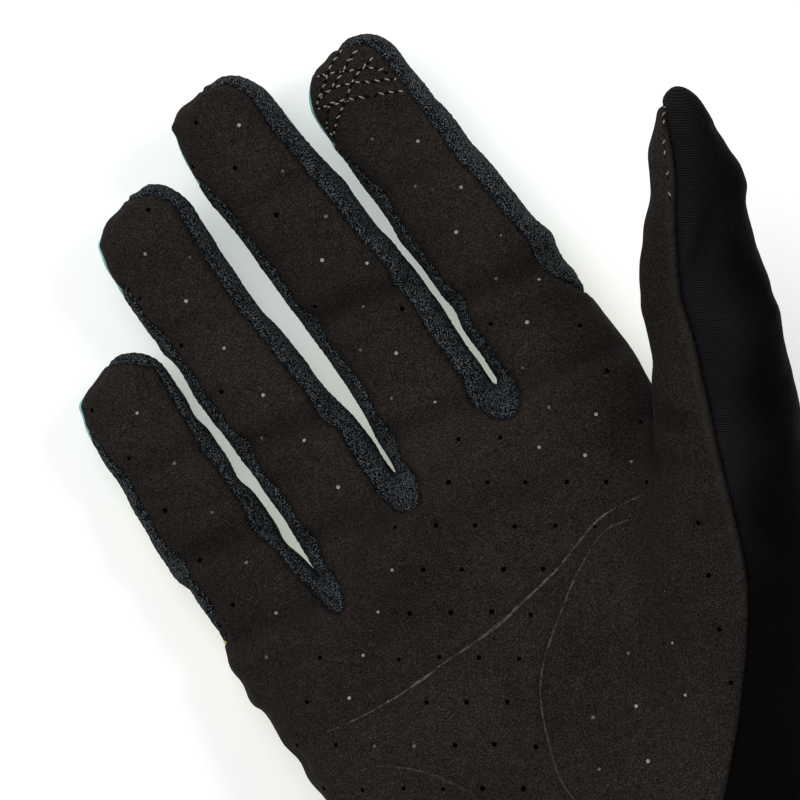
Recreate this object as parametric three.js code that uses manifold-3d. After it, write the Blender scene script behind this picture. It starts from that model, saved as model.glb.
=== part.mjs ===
// Full-finger cycling glove for the right hand, lying on its back with the palm up.
// Millimetres. +X runs to the thumb side, +Y along the hand to the fingertips, +Z up out of the palm.
// The origin is on the resting surface under the middle of the palm.
import * as THREE from 'three';
import { mergeVertices } from 'three/addons/utils/BufferGeometryUtils.js';
import Module from 'manifold-3d';

// Driving dimensions
const wall = 1.2; // cloth and suede
const seamGap = 0.3; // clearance between neighbouring panels
const restPress = 1.1; // how far the round forms are flattened where they rest
const palmBreadth = 94; // across the knuckles
const palmThickness = 31; // through the filled-out palm
const palmLength = 138.8; // cuff edge to the front of the palm
const palmFrontY = 38.8; // front of the palm beside the index finger
const palmFrontX = 13.7; // where that is measured
const cuffLength = 22; // finished band at the wrist opening
const fingerLength = 102.9; // the middle finger, from its root inside the palm to its tip
const palmSeamHeight = 10; // seam between palm side and back of the hand
const fingerSeamHeight = 7.4; // the same seam along the fingers
const tipLift = 8; // how far the longest fingertip curls up off the surface
const forkDepth = 6.4; // depth of the U of each between-finger strip below the crotch
const thumbLength = 140.3; // in plan, from inside the wrist to the tip
const thumbWidth = 23;
const thumbRise = 32; // tip centre above the start of the thumb's centreline
const thumbLean = 28; // degrees from the line of the hand

// Ring resolution
const fingerSides = 16;
const palmSides = 26;
const thumbSides = 20;

// Palm body. along: share of palmLength from the cuff edge. left, right: share of palmBreadth
// from the centreline. thick: share of palmThickness. raise: how far its underside is off the
// surface, same share. cup: how deep the hollow of the palm is, same share.
const palmSections = [
  { along: 0.0, left: 0.532, right: 0.234, thick: 1.42, raise: 0, cup: 0 },
  { along: 0.16, left: 0.49, right: 0.213, thick: 1.34, raise: 0, cup: 0 },
  { along: 0.275, left: 0.482, right: 0.213, thick: 1.3, raise: 0, cup: 0.02 },
  { along: 0.375, left: 0.532, right: 0.255, thick: 1.27, raise: 0, cup: 0.05 },
  { along: 0.475, left: 0.574, right: 0.309, thick: 1.23, raise: 0, cup: 0.1 },
  { along: 0.59, left: 0.592, right: 0.351, thick: 1.16, raise: 0, cup: 0.15 },
  { along: 0.705, left: 0.594, right: 0.383, thick: 1.07, raise: 0, cup: 0.16 },
  { along: 0.806, left: 0.6, right: 0.4, thick: 0.98, raise: 0, cup: 0.12 },
  { along: 0.893, left: 0.596, right: 0.404, thick: 0.9, raise: 0, cup: 0.06 },
  { along: 0.95, left: 0.59, right: 0.404, thick: 0.82, raise: 0, cup: 0 },
  { along: 0.983, left: 0.585, right: 0.402, thick: 0.7, raise: 0.03, cup: 0 },
  { along: 1.0, left: 0.575, right: 0.394, thick: 0.5, raise: 0.12, cup: 0 },
];

// Fingers. rootX and width: shares of palmBreadth. rootBack: how far the root lies behind the front of
// the palm, and length: both shares of fingerLength. thickness: share of palmThickness.
// along: share of the length from root to tip. side: sideways shift of the centreline and
// half: half-width, both shares of the width. thick: share of the thickness, lower at the flexion dents.
// bandL, bandR: how much of the palm face the knitted strip takes on the ulnar and radial side, shares
// of the width. A negative band lies outside the finger, where palm and back meet without a strip.
const fingerShapes = [
  {
    name: 'index', rootX: 0.2787, rootBack: 0.241, length: 0.9116, width: 0.2447, thickness: 0.6323,
    sections: [
      { along: 0.0, side: -0.08, half: 0.4, thick: 1.2, bandL: 0.1, bandR: -0.08 },
      { along: 0.21, side: 0.0, half: 0.505, thick: 1.1, bandL: 0.1, bandR: -0.08 },
      { along: 0.3, side: -0.02, half: 0.5, thick: 1.05, bandL: 0.09, bandR: -0.04 },
      { along: 0.37, side: -0.035, half: 0.495, thick: 1.0, bandL: 0.08, bandR: 0.13 },
      { along: 0.425, side: -0.035, half: 0.497, thick: 0.93, bandL: 0.08, bandR: 0.17 },
      { along: 0.49, side: -0.035, half: 0.496, thick: 0.98, bandL: 0.075, bandR: 0.18 },
      { along: 0.605, side: -0.085, half: 0.487, thick: 0.97, bandL: 0.07, bandR: 0.18 },
      { along: 0.69, side: -0.12, half: 0.456, thick: 0.9, bandL: 0.06, bandR: 0.17 },
      { along: 0.76, side: -0.135, half: 0.456, thick: 0.92, bandL: 0.05, bandR: 0.16 },
      { along: 0.841, side: -0.165, half: 0.452, thick: 0.91, bandL: 0.0, bandR: 0.155 },
      { along: 0.917, side: -0.187, half: 0.426, thick: 0.86, bandL: -0.1, bandR: 0.14 },
      { along: 0.959, side: -0.174, half: 0.361, thick: 0.74, bandL: -0.1, bandR: 0.13 },
      { along: 0.987, side: -0.157, half: 0.24, thick: 0.52, bandL: -0.1, bandR: 0.12 },
    ],
  },
  {
    name: 'middle', rootX: 0.0128, rootBack: 0.2604, length: 1, width: 0.2489, thickness: 0.6452,
    sections: [
      { along: 0.0, side: 0.0, half: 0.504, thick: 1.2, bandL: 0.1, bandR: 0.2 },
      { along: 0.25, side: 0.0, half: 0.508, thick: 1.04, bandL: 0.1, bandR: 0.2 },
      { along: 0.34, side: 0.008, half: 0.495, thick: 1.02, bandL: 0.09, bandR: 0.19 },
      { along: 0.4, side: 0.013, half: 0.483, thick: 1.02, bandL: 0.085, bandR: 0.18 },
      { along: 0.515, side: -0.008, half: 0.492, thick: 0.94, bandL: 0.08, bandR: 0.175 },
      { along: 0.61, side: -0.05, half: 0.474, thick: 0.99, bandL: 0.075, bandR: 0.17 },
      { along: 0.72, side: -0.077, half: 0.459, thick: 0.92, bandL: 0.065, bandR: 0.165 },
      { along: 0.76, side: -0.1, half: 0.455, thick: 0.9, bandL: 0.06, bandR: 0.16 },
      { along: 0.827, side: -0.132, half: 0.444, thick: 0.92, bandL: 0.05, bandR: 0.15 },
      { along: 0.899, side: -0.154, half: 0.425, thick: 0.9, bandL: -0.1, bandR: 0.14 },
      { along: 0.947, side: -0.162, half: 0.397, thick: 0.83, bandL: -0.1, bandR: 0.13 },
      { along: 0.977, side: -0.162, half: 0.333, thick: 0.7, bandL: -0.1, bandR: 0.12 },
      { along: 0.993, side: -0.154, half: 0.214, thick: 0.5, bandL: -0.1, bandR: 0.12 },
    ],
  },
  {
    name: 'ring', rootX: -0.2404, rootBack: 0.3188, length: 0.9689, width: 0.234, thickness: 0.6129,
    sections: [
      { along: 0.0, side: 0.0, half: 0.495, thick: 1.2, bandL: 0.11, bandR: 0.19 },
      { along: 0.26, side: 0.005, half: 0.495, thick: 1.04, bandL: 0.11, bandR: 0.19 },
      { along: 0.36, side: 0.0, half: 0.496, thick: 1.02, bandL: 0.11, bandR: 0.19 },
      { along: 0.42, side: -0.014, half: 0.495, thick: 1.0, bandL: 0.1, bandR: 0.18 },
      { along: 0.468, side: -0.04, half: 0.475, thick: 0.93, bandL: 0.1, bandR: 0.17 },
      { along: 0.53, side: -0.064, half: 0.464, thick: 0.98, bandL: 0.095, bandR: 0.16 },
      { along: 0.605, side: -0.095, half: 0.468, thick: 0.98, bandL: 0.085, bandR: 0.15 },
      { along: 0.68, side: -0.109, half: 0.436, thick: 0.93, bandL: 0.08, bandR: 0.14 },
      { along: 0.79, side: -0.145, half: 0.445, thick: 0.92, bandL: 0.06, bandR: 0.13 },
      { along: 0.902, side: -0.145, half: 0.445, thick: 0.9, bandL: 0.03, bandR: 0.11 },
      { along: 0.948, side: -0.132, half: 0.409, thick: 0.82, bandL: -0.1, bandR: 0.1 },
      { along: 0.977, side: -0.109, half: 0.3, thick: 0.67, bandL: -0.1, bandR: 0.1 },
      { along: 0.993, side: -0.082, half: 0.182, thick: 0.48, bandL: -0.1, bandR: 0.1 },
    ],
  },
  {
    name: 'little', rootX: -0.466, rootBack: 0.3965, length: 0.8154, width: 0.2234, thickness: 0.5677,
    sections: [
      { along: 0.0, side: 0.1, half: 0.44, thick: 1.3, bandL: -0.08, bandR: 0.14 },
      { along: 0.25, side: -0.01, half: 0.59, thick: 1.14, bandL: -0.08, bandR: 0.14 },
      { along: 0.31, side: -0.02, half: 0.56, thick: 1.05, bandL: -0.04, bandR: 0.14 },
      { along: 0.365, side: -0.04, half: 0.5, thick: 1.02, bandL: 0.06, bandR: 0.14 },
      { along: 0.45, side: -0.052, half: 0.479, thick: 1.02, bandL: 0.12, bandR: 0.14 },
      { along: 0.52, side: -0.08, half: 0.488, thick: 0.94, bandL: 0.13, bandR: 0.14 },
      { along: 0.63, side: -0.1, half: 0.486, thick: 0.99, bandL: 0.12, bandR: 0.13 },
      { along: 0.715, side: -0.105, half: 0.45, thick: 0.93, bandL: 0.1, bandR: 0.11 },
      { along: 0.803, side: -0.1, half: 0.445, thick: 0.94, bandL: 0.08, bandR: 0.09 },
      { along: 0.892, side: -0.095, half: 0.433, thick: 0.91, bandL: 0.03, bandR: 0.06 },
      { along: 0.936, side: -0.086, half: 0.41, thick: 0.84, bandL: -0.1, bandR: 0.05 },
      { along: 0.968, side: -0.057, half: 0.329, thick: 0.7, bandL: -0.1, bandR: 0.05 },
      { along: 0.988, side: -0.019, half: 0.2, thick: 0.48, bandL: -0.1, bandR: 0.05 },
    ],
  },
];

// Thumb. along and side: shares of thumbLength along the lean and to the outer side of it. rise: share
// of thumbRise. half, deep: half-width in plan and half-depth, shares of thumbWidth. seam: where the
// suede ends and the stretch panel starts, share of the half-width from the centreline.
const thumbSections = [
  { along: 0.0, side: 0.0, rise: 0.0, half: 0.62, deep: 0.58, seam: -0.35 },
  { along: 0.185, side: 0.0145, rise: 0.03, half: 0.74, deep: 0.72, seam: 0.0 },
  { along: 0.361, side: 0.026, rise: 0.11, half: 0.74, deep: 0.74, seam: 0.12 },
  { along: 0.47, side: 0.033, rise: 0.2, half: 0.66, deep: 0.66, seam: -0.05 },
  { along: 0.55, side: 0.0375, rise: 0.28, half: 0.575, deep: 0.56, seam: -0.25 },
  { along: 0.629, side: 0.032, rise: 0.41, half: 0.522, deep: 0.5, seam: -0.35 },
  { along: 0.687, side: 0.0285, rise: 0.53, half: 0.507, deep: 0.47, seam: -0.43 },
  { along: 0.732, side: 0.019, rise: 0.59, half: 0.507, deep: 0.455, seam: -0.43 },
  { along: 0.796, side: 0.0135, rise: 0.72, half: 0.45, deep: 0.43, seam: -0.43 },
  { along: 0.858, side: 0.0145, rise: 0.84, half: 0.39, deep: 0.4, seam: -0.5 },
  { along: 0.894, side: 0.017, rise: 0.91, half: 0.362, deep: 0.37, seam: -0.55 },
  { along: 0.945, side: 0.005, rise: 0.97, half: 0.236, deep: 0.28, seam: -0.6 },
  { along: 0.982, side: 0.0, rise: 0.99, half: 0.15, deep: 0.18, seam: -0.66 },
  { along: 1.0, side: 0.0, rise: 1.0, half: 0.06, deep: 0.08, seam: -0.8 },
];

const palmStartY = palmFrontY - palmLength;
const cuffSeamY = palmStartY + cuffLength;
const thumbStart = {
  x: 0.0213 * palmBreadth,
  y: palmStartY + 0.3026 * palmLength,
  z: 0.6774 * palmThickness,
};
const fingers = fingerShapes.map((shape) => ({
  ...shape,
  rootX: palmBreadth * shape.rootX,
  rootY: palmFrontY - fingerLength * shape.rootBack,
  length: fingerLength * shape.length,
  width: palmBreadth * shape.width,
  thickness: palmThickness * shape.thickness,
}));

// Value of a column at a share t, by cubic Hermite curves through the rows.
function columnAt(rows, column, t) {
  let i = 0;
  while (i < rows.length - 2 && t > rows[i + 1].along) i += 1;
  const slope = (k) => {
    const a = rows[Math.max(k - 1, 0)];
    const b = rows[Math.min(k + 1, rows.length - 1)];
    return (b[column] - a[column]) / (b.along - a.along);
  };
  const span = rows[i + 1].along - rows[i].along;
  const u = Math.min(Math.max((t - rows[i].along) / span, 0), 1);
  const u2 = u * u;
  const u3 = u2 * u;
  return (2 * u3 - 3 * u2 + 1) * rows[i][column] + (u3 - 2 * u2 + u) * span * slope(i)
    + (3 * u2 - 2 * u3) * rows[i + 1][column] + (u3 - u2) * span * slope(i + 1);
}

function smoothStep(from, to, value) {
  const u = Math.min(Math.max((value - from) / (to - from), 0), 1);
  return u * u * (3 - 2 * u);
}

// A signed power, for superellipse sections.
function roundedPower(value, exponent) {
  return Math.sign(value) * Math.abs(value) ** exponent;
}

// How far the surface of the fingers curls up at a place along the hand.
const longest = Math.max(...fingers.map((finger) => finger.rootY + finger.length));
const curlAfterFront = 12; // the fingers lie flat this far past the front of the palm
const curlStartY = palmFrontY + curlAfterFront;
function curlAt(y) {
  const share = Math.max((y - curlStartY) / (longest - curlStartY), 0);
  return tipLift * share * share;
}

// The front of the palm drops back towards the little finger in a shallow curve.
const frontSlope = 0.078;
const frontCurve = 0.38; // drop in breadths at one breadth from palmFrontX
function frontDrop(x) {
  const share = (x - palmFrontX) / palmBreadth;
  return palmBreadth * share * (frontSlope - frontCurve * share);
}

// A closed solid through rings of equal count, with a fan on each end.
function loft(rings) {
  const sides = rings[0].length;
  const points = rings.flat();
  const centre = (ring) => ring.reduce((sum, p) => sum.add(p), new THREE.Vector3()).divideScalar(sides);
  const first = points.push(centre(rings[0])) - 1;
  const last = points.push(centre(rings[rings.length - 1])) - 1;
  const index = [];
  for (let i = 0; i < rings.length - 1; i += 1) {
    for (let j = 0; j < sides; j += 1) {
      const a = i * sides + j;
      const b = i * sides + ((j + 1) % sides);
      index.push(a, b, b + sides, a, b + sides, a + sides);
    }
  }
  const end = (rings.length - 1) * sides;
  for (let j = 0; j < sides; j += 1) {
    const next = (j + 1) % sides;
    index.push(first, next, j);
    index.push(last, end + j, end + next);
  }
  const geometry = new THREE.BufferGeometry().setFromPoints(points);
  geometry.setIndex(index);
  return geometry;
}

const wasm = await Module();
wasm.setup();

function solidFrom(geometry) {
  const bare = geometry.clone();
  bare.deleteAttribute('normal');
  bare.deleteAttribute('uv');
  const merged = mergeVertices(bare, 1e-5);
  let solid = new wasm.Manifold(new wasm.Mesh({
    numProp: 3,
    vertProperties: new Float32Array(merged.attributes.position.array),
    triVerts: new Uint32Array(merged.index.array),
  }));
  if (solid.volume() < 0) {
    const turned = Uint32Array.from(merged.index.array);
    for (let i = 0; i < turned.length; i += 3) {
      [turned[i + 1], turned[i + 2]] = [turned[i + 2], turned[i + 1]];
    }
    solid = new wasm.Manifold(new wasm.Mesh({
      numProp: 3,
      vertProperties: new Float32Array(merged.attributes.position.array),
      triVerts: turned,
    }));
  }
  return solid;
}

function geometryFrom(solid) {
  const mesh = solid.getMesh();
  const geometry = new THREE.BufferGeometry();
  geometry.setAttribute('position', new THREE.BufferAttribute(mesh.vertProperties, 3));
  geometry.setIndex(new THREE.BufferAttribute(mesh.triVerts, 1));
  geometry.computeVertexNormals();
  return geometry;
}

// One finger, or its hollow when inset is the wall.
const fingerSquareness = 2.35;
const rootSink = 0.3; // how far the root's underside starts inside the palm, share of the thickness
const rootBlend = 0.3; // share of the length over which it comes out
const tipTuck = 0.1; // how far the fingertip's middle rises, share of the thickness
const tipBlend = 0.25; // share of the length over which it rises
const leastRadius = 0.4; // of any section, so that no ring closes on itself
function fingerSolid(finger, inset) {
  const reach = 1 - inset / finger.length;
  const rings = finger.sections.map(({ along: station }) => {
    const t = station * reach;
    const y = finger.rootY + finger.length * t;
    const across = finger.width * columnAt(finger.sections, 'half', station) - inset;
    const sunk = finger.thickness * rootSink * (1 - smoothStep(0, rootBlend, station));
    const bottom = curlAt(y) - restPress + sunk + inset;
    const top = curlAt(y) + finger.thickness * columnAt(finger.sections, 'thick', station) - inset;
    const tuck = finger.thickness * tipTuck * (1 - smoothStep(0, tipBlend, 1 - station));
    const middle = (bottom + top) / 2 + tuck;
    const height = (top - bottom) / 2;
    const x = finger.rootX + finger.width * columnAt(finger.sections, 'side', station);
    const ring = [];
    for (let j = 0; j < fingerSides; j += 1) {
      const angle = (2 * Math.PI * (j + 0.5)) / fingerSides;
      const rx = Math.max(across, leastRadius) * roundedPower(Math.cos(angle), 2 / fingerSquareness);
      const rz = Math.max(height, leastRadius) * roundedPower(Math.sin(angle), 2 / fingerSquareness);
      ring.push(new THREE.Vector3(x + rx, y, Math.max(middle + rz, inset)));
    }
    return ring;
  });
  return solidFrom(loft(rings));
}

// The palm, wrist and cuff, or their hollow, which runs out through the cuff's end.
const palmSquareness = 2.75;
const mouthOverrun = 6; // how far the hollow runs out past the cuff's edge
const frontBlend = 0.55; // share of the palm's length from which its sections bend to the front
const cupCentre = 0.05; // of the breadth, towards the thumb
const cupSpread = 0.3; // of the breadth
function palmSolid(inset) {
  const overrun = inset > 0 ? mouthOverrun : 0;
  const rings = palmSections.map(({ along: station }, i) => {
    const along = palmLength * station;
    const out = i === 0 ? -overrun : 0;
    const back = inset * smoothStep(frontBlend, 1, station);
    const left = palmBreadth * columnAt(palmSections, 'left', station) - inset;
    const right = palmBreadth * columnAt(palmSections, 'right', station) - inset;
    const raise = palmThickness * columnAt(palmSections, 'raise', station);
    const top = palmThickness * columnAt(palmSections, 'thick', station) - inset;
    const bottom = raise - restPress + inset;
    const cup = palmThickness * columnAt(palmSections, 'cup', station);
    const bend = smoothStep(frontBlend, 1, station);
    const ring = [];
    for (let j = 0; j < palmSides; j += 1) {
      const angle = (2 * Math.PI * (j + 0.5)) / palmSides;
      const rx = ((left + right) / 2) * roundedPower(Math.cos(angle), 2 / palmSquareness);
      const rz = ((top - bottom) / 2) * roundedPower(Math.sin(angle), 2 / palmSquareness);
      const x = (right - left) / 2 + rx;
      const fromCup = (x / palmBreadth + cupCentre) / cupSpread;
      const hollow = Math.sin(angle) > 0 ? cup * Math.exp(-fromCup * fromCup) * Math.sin(angle) : 0;
      const z = Math.max((top + bottom) / 2 + rz - hollow, inset);
      ring.push(new THREE.Vector3(x, palmStartY + along + out - back + frontDrop(x) * bend, z));
    }
    return ring;
  });
  return solidFrom(loft(rings));
}

// The thumb's centreline and its outer-side direction.
const leanAngle = THREE.MathUtils.degToRad(thumbLean);
const thumbAxis = new THREE.Vector3(Math.sin(leanAngle), Math.cos(leanAngle), 0);
const thumbOuter = new THREE.Vector3(Math.cos(leanAngle), -Math.sin(leanAngle), 0);
function thumbPoint(station, outwards) {
  const along = thumbLength * station;
  const side = thumbLength * columnAt(thumbSections, 'side', station) + outwards;
  return new THREE.Vector3(thumbStart.x, thumbStart.y, thumbStart.z)
    .addScaledVector(thumbAxis, along)
    .addScaledVector(thumbOuter, side)
    .add(new THREE.Vector3(0, 0, thumbRise * columnAt(thumbSections, 'rise', station)));
}

function thumbSolid(inset) {
  const reach = inset / thumbLength;
  const rings = thumbSections.map(({ along: station }) => {
    const place = thumbPoint(station * (1 - reach), 0);
    const across = Math.max(thumbWidth * columnAt(thumbSections, 'half', station) - inset, leastRadius);
    const deep = Math.max(thumbWidth * columnAt(thumbSections, 'deep', station) - inset, leastRadius);
    const ring = [];
    for (let j = 0; j < thumbSides; j += 1) {
      const angle = (2 * Math.PI * (j + 0.5)) / thumbSides;
      const point = place.clone().addScaledVector(thumbOuter, across * Math.cos(angle));
      point.z = Math.max(point.z + deep * Math.sin(angle), inset);
      ring.push(point);
    }
    return ring;
  });
  return solidFrom(loft(rings));
}

function joined(solids) {
  return solids.reduce((sum, solid) => sum.add(solid));
}

const outer = joined([palmSolid(0), thumbSolid(0), ...fingers.map((finger) => fingerSolid(finger, 0))]);
const hollow = joined([
  palmSolid(wall),
  thumbSolid(wall),
  ...fingers.map((finger) => fingerSolid(finger, wall)),
]);
const shell = outer.subtract(hollow);

// Vertical prism on an outline in plan, tall enough to pass through the whole glove.
const prismTop = 200;
const prismFoot = -20;
const cutMargin = 10; // how far cutters run past the ends of the glove
function prism(outline) {
  const shape = new THREE.Shape(outline.map(([x, y]) => new THREE.Vector2(x, y)));
  const geometry = new THREE.ExtrudeGeometry(shape, { depth: prismTop - prismFoot, bevelEnabled: false });
  geometry.translate(0, 0, prismFoot);
  return solidFrom(geometry);
}

// Everything under the back seam, whose height follows the palm, the fingers and their curl.
const seamDropFrom = 25; // the seam comes down between this far behind the palm's front
const seamDropTo = 5; // and this far past it
function seamHeightAt(y) {
  const share = smoothStep(palmFrontY - seamDropFrom, palmFrontY + seamDropTo, y);
  return palmSeamHeight + (fingerSeamHeight - palmSeamHeight) * share + curlAt(y);
}
const seamSteps = 18;
function underSeam(offset) {
  const from = palmStartY - cutMargin;
  const to = longest + cutMargin;
  const shape = new THREE.Shape();
  shape.moveTo(from, prismFoot);
  shape.lineTo(to, prismFoot);
  for (let i = 0; i <= seamSteps; i += 1) {
    const y = to + ((from - to) * i) / seamSteps;
    shape.lineTo(y, seamHeightAt(y) + offset);
  }
  const span = 4 * palmBreadth;
  const geometry = new THREE.ExtrudeGeometry(shape, { depth: span, bevelEnabled: false });
  geometry.applyMatrix4(new THREE.Matrix4().set(0, 0, 1, -span / 2, 1, 0, 0, 0, 0, 1, 0, 0, 0, 0, 0, 1));
  return solidFrom(geometry);
}

// Edges and seam lines of a finger in plan. radial is 1 on the thumb side and -1 on the other.
const outside = 0.6; // how far past the finger's edge a cutting outline runs between fingers
const outsideFree = 3; // the same on the free side of the hand
const seamLineSteps = 12;
function edgeX(finger, station, radial) {
  const middle = finger.rootX + finger.width * columnAt(finger.sections, 'side', station);
  return middle + radial * finger.width * columnAt(finger.sections, 'half', station);
}
function seamX(finger, station, radial, widen) {
  const band = columnAt(finger.sections, radial > 0 ? 'bandR' : 'bandL', station);
  return edgeX(finger, station, radial) - radial * (finger.width * band + widen);
}
function stationAt(finger, y) {
  return (y - finger.rootY) / finger.length;
}
function seamLine(finger, radial, fromY, toY, widen) {
  const line = [];
  for (let i = 0; i <= seamLineSteps; i += 1) {
    const y = fromY + ((toY - fromY) * i) / seamLineSteps;
    line.push([seamX(finger, stationAt(finger, y), radial, widen), y]);
  }
  return line;
}

const crownShare = 0.985; // where a strip starts over the fingertip
const crownDrop = 4; // from there to where it reaches the finger's side
const crownCorner = 0.12; // how far in from the edge it turns down, share of the width
const ulnarStart = 0.86; // share of the length at which the seam on the ulnar side starts
const outerStart = 0.93; // the same on the little finger's outer side
const outerEnd = 0.3; // where the outer strips end near the root
const crotchStation = 0.4; // share of the length where two fingers part

function tipY(finger) {
  return finger.rootY + finger.length;
}

// Where a strip comes over the fingertip and turns down its radial side.
function crownPoints(finger, widen) {
  const shift = finger.width * columnAt(finger.sections, 'side', crownShare);
  return [
    [finger.rootX + shift - widen, tipY(finger) + outside],
    [edgeX(finger, crownShare, 1) - crownCorner * finger.width - widen, crownY(finger) - 1],
  ];
}
function crownY(finger) {
  return finger.rootY + finger.length * crownShare;
}

// The strip between two fingers: down the radial side of one, round the crotch, up the other.
const arcSteps = 8;
const laneSteps = 6;
function forkOutline(ulnar, radial, widen) {
  const middleX = (edgeX(ulnar, crotchStation, 1) + edgeX(radial, crotchStation, -1)) / 2;
  const crotchY = palmFrontY + frontDrop(middleX);
  const startY = radial.rootY + radial.length * ulnarStart;
  const down = seamLine(ulnar, 1, crownY(ulnar) - crownDrop, crotchY, widen);
  const up = seamLine(radial, -1, crotchY, startY, widen);
  const [fromX] = down[down.length - 1];
  const [toX] = up[0];
  const arc = [];
  for (let i = 1; i < arcSteps; i += 1) {
    const angle = Math.PI * (1 + i / arcSteps);
    const x = (fromX + toX) / 2 + ((toX - fromX) / 2) * Math.cos(angle);
    arc.push([x, crotchY + (forkDepth + widen) * Math.sin(angle)]);
  }
  const lane = [];
  const laneTop = Math.max(startY, tipY(ulnar) + outside);
  for (let i = 1; i <= laneSteps; i += 1) {
    const y = startY + ((laneTop - startY) * i) / laneSteps;
    lane.push([edgeX(radial, Math.min(stationAt(radial, y), crownShare), -1) - outside, y]);
  }
  return [...crownPoints(ulnar, widen), ...down, ...arc, ...up, ...lane];
}

// The strip on the outer side of the index or little finger.
function sideOutline(finger, radial, widen) {
  const topY = radial > 0 ? crownY(finger) - crownDrop : finger.rootY + finger.length * outerStart;
  const endY = finger.rootY + finger.length * outerEnd;
  const seam = seamLine(finger, radial, topY, endY, widen);
  const free = seam
    .map(([, y]) => [edgeX(finger, stationAt(finger, y), radial) + outsideFree * radial, y])
    .reverse();
  if (radial < 0) return [...seam, ...free];
  const corner = [free[free.length - 1][0], tipY(finger) + outside];
  return [corner, ...crownPoints(finger, widen), ...seam, ...free];
}

// Everything on the outer side of the thumb's seam.
const thumbSeamSteps = 26;
const seamDrift = 0.035; // how far the seam runs on towards the little finger at the cuff, of the breadth
function thumbOutline(shift) {
  const line = [];
  for (let i = 0; i <= thumbSeamSteps; i += 1) {
    const station = i / thumbSeamSteps;
    const half = thumbWidth * columnAt(thumbSections, 'half', station);
    const seam = half * columnAt(thumbSections, 'seam', station);
    const point = thumbPoint(station, seam + shift);
    line.push([point.x, point.y]);
  }
  const [firstX, firstY] = line[0];
  const far = 2 * palmBreadth;
  const [lastX] = line[line.length - 1];
  return [
    [firstX - seamDrift * palmBreadth, palmStartY - cutMargin],
    [firstX - seamDrift * palmBreadth, cuffSeamY],
    [firstX - (seamDrift / 2) * palmBreadth, (cuffSeamY + firstY) / 2],
    ...line,
    [lastX, longest],
    [far, longest],
    [far, palmStartY - cutMargin],
  ];
}

// The wrist end, up to the cuff's seam.
function wristBlock(offset) {
  const far = 2 * palmBreadth;
  const edge = cuffSeamY + offset;
  return prism([[-far, palmStartY - far], [far, palmStartY - far], [far, edge], [-far, edge]]);
}

const [index, middle, ring, little] = fingers;
const halfGap = seamGap / 2;
const aboveSeam = shell.subtract(underSeam(halfGap)).subtract(wristBlock(halfGap));
const forks = [
  ['fourchette_index_middle', (widen) => forkOutline(middle, index, widen)],
  ['fourchette_middle_ring', (widen) => forkOutline(ring, middle, widen)],
  ['fourchette_ring_little', (widen) => forkOutline(little, ring, widen)],
  ['index_side_strip', (widen) => sideOutline(index, 1, widen)],
  ['little_side_strip', (widen) => sideOutline(little, -1, widen)],
];

const suede = { color: 0x1c1816, roughness: 0.95, metalness: 0 };
const knit = { color: 0x1e2226, roughness: 0.85, metalness: 0 };
const stretch = { color: 0x141418, roughness: 0.6, metalness: 0 };
const mesh = { color: 0x3f9b8e, roughness: 0.7, metalness: 0 };

const pieces = [];
let palmSide = aboveSeam.subtract(prism(thumbOutline(-halfGap)));
for (const [name, outline] of forks) {
  pieces.push([name, knit, aboveSeam.intersect(prism(outline(0)))]);
  palmSide = palmSide.subtract(prism(outline(seamGap)));
}
pieces.push(['palm_panel', suede, palmSide]);
pieces.push(['thumb_back_panel', stretch, aboveSeam.intersect(prism(thumbOutline(halfGap)))]);
pieces.push(['hand_back_panel', mesh, shell.intersect(underSeam(-halfGap)).subtract(wristBlock(halfGap))]);
pieces.push(['cuff_band', stretch, shell.intersect(wristBlock(-halfGap))]);

// Where two seams run together a cut can leave a crumb beside the panel: the panel is the main body.
function mainBody(solid) {
  return solid.decompose().reduce((best, body) => (body.volume() > best.volume() ? body : best));
}

const glove = new THREE.Group();
for (const [name, finish, solid] of pieces) {
  const panel = new THREE.Mesh(geometryFrom(mainBody(solid)), new THREE.MeshStandardMaterial(finish));
  panel.name = name;
  glove.add(panel);
}

export default glove;
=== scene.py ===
import bpy
import math
import numpy as np
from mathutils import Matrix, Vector
from mathutils.bvhtree import BVHTree


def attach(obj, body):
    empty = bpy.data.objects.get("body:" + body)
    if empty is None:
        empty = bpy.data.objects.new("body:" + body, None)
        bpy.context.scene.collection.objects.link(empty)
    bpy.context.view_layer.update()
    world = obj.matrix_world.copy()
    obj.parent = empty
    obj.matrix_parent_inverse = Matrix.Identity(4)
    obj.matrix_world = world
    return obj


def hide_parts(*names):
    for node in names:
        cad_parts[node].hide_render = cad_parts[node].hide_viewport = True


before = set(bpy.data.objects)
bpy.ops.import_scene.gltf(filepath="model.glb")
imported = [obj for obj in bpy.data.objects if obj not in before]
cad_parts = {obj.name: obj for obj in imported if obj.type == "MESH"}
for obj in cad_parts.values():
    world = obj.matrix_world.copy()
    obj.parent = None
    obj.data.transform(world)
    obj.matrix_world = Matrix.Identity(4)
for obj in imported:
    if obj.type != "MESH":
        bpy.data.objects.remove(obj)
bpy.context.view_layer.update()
mm = 0.001
rng = np.random.default_rng(7)

# The camera looks straight down on the palm. The photo is 800 px square.
view = {
    "axis": (-3.1, 46.2),       # mm, the point of the glove under the middle of the picture
    "planeHeight": 18.0,        # mm, where the scale holds
    "distance": 700.0,          # mm from that plane
    "pixelsPerMm": 5.4,
    "roll": -33.0,              # degrees, the hand's line against the picture's upright
    "pictureWidth": 800,
    "sensor": 36.0,
}
roll = math.radians(view["roll"])
pictureRight = np.array([math.cos(roll), math.sin(roll)])
pictureUp = np.array([-math.sin(roll), math.cos(roll)])
eye = np.array([*view["axis"], view["planeHeight"] + view["distance"]])

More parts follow.
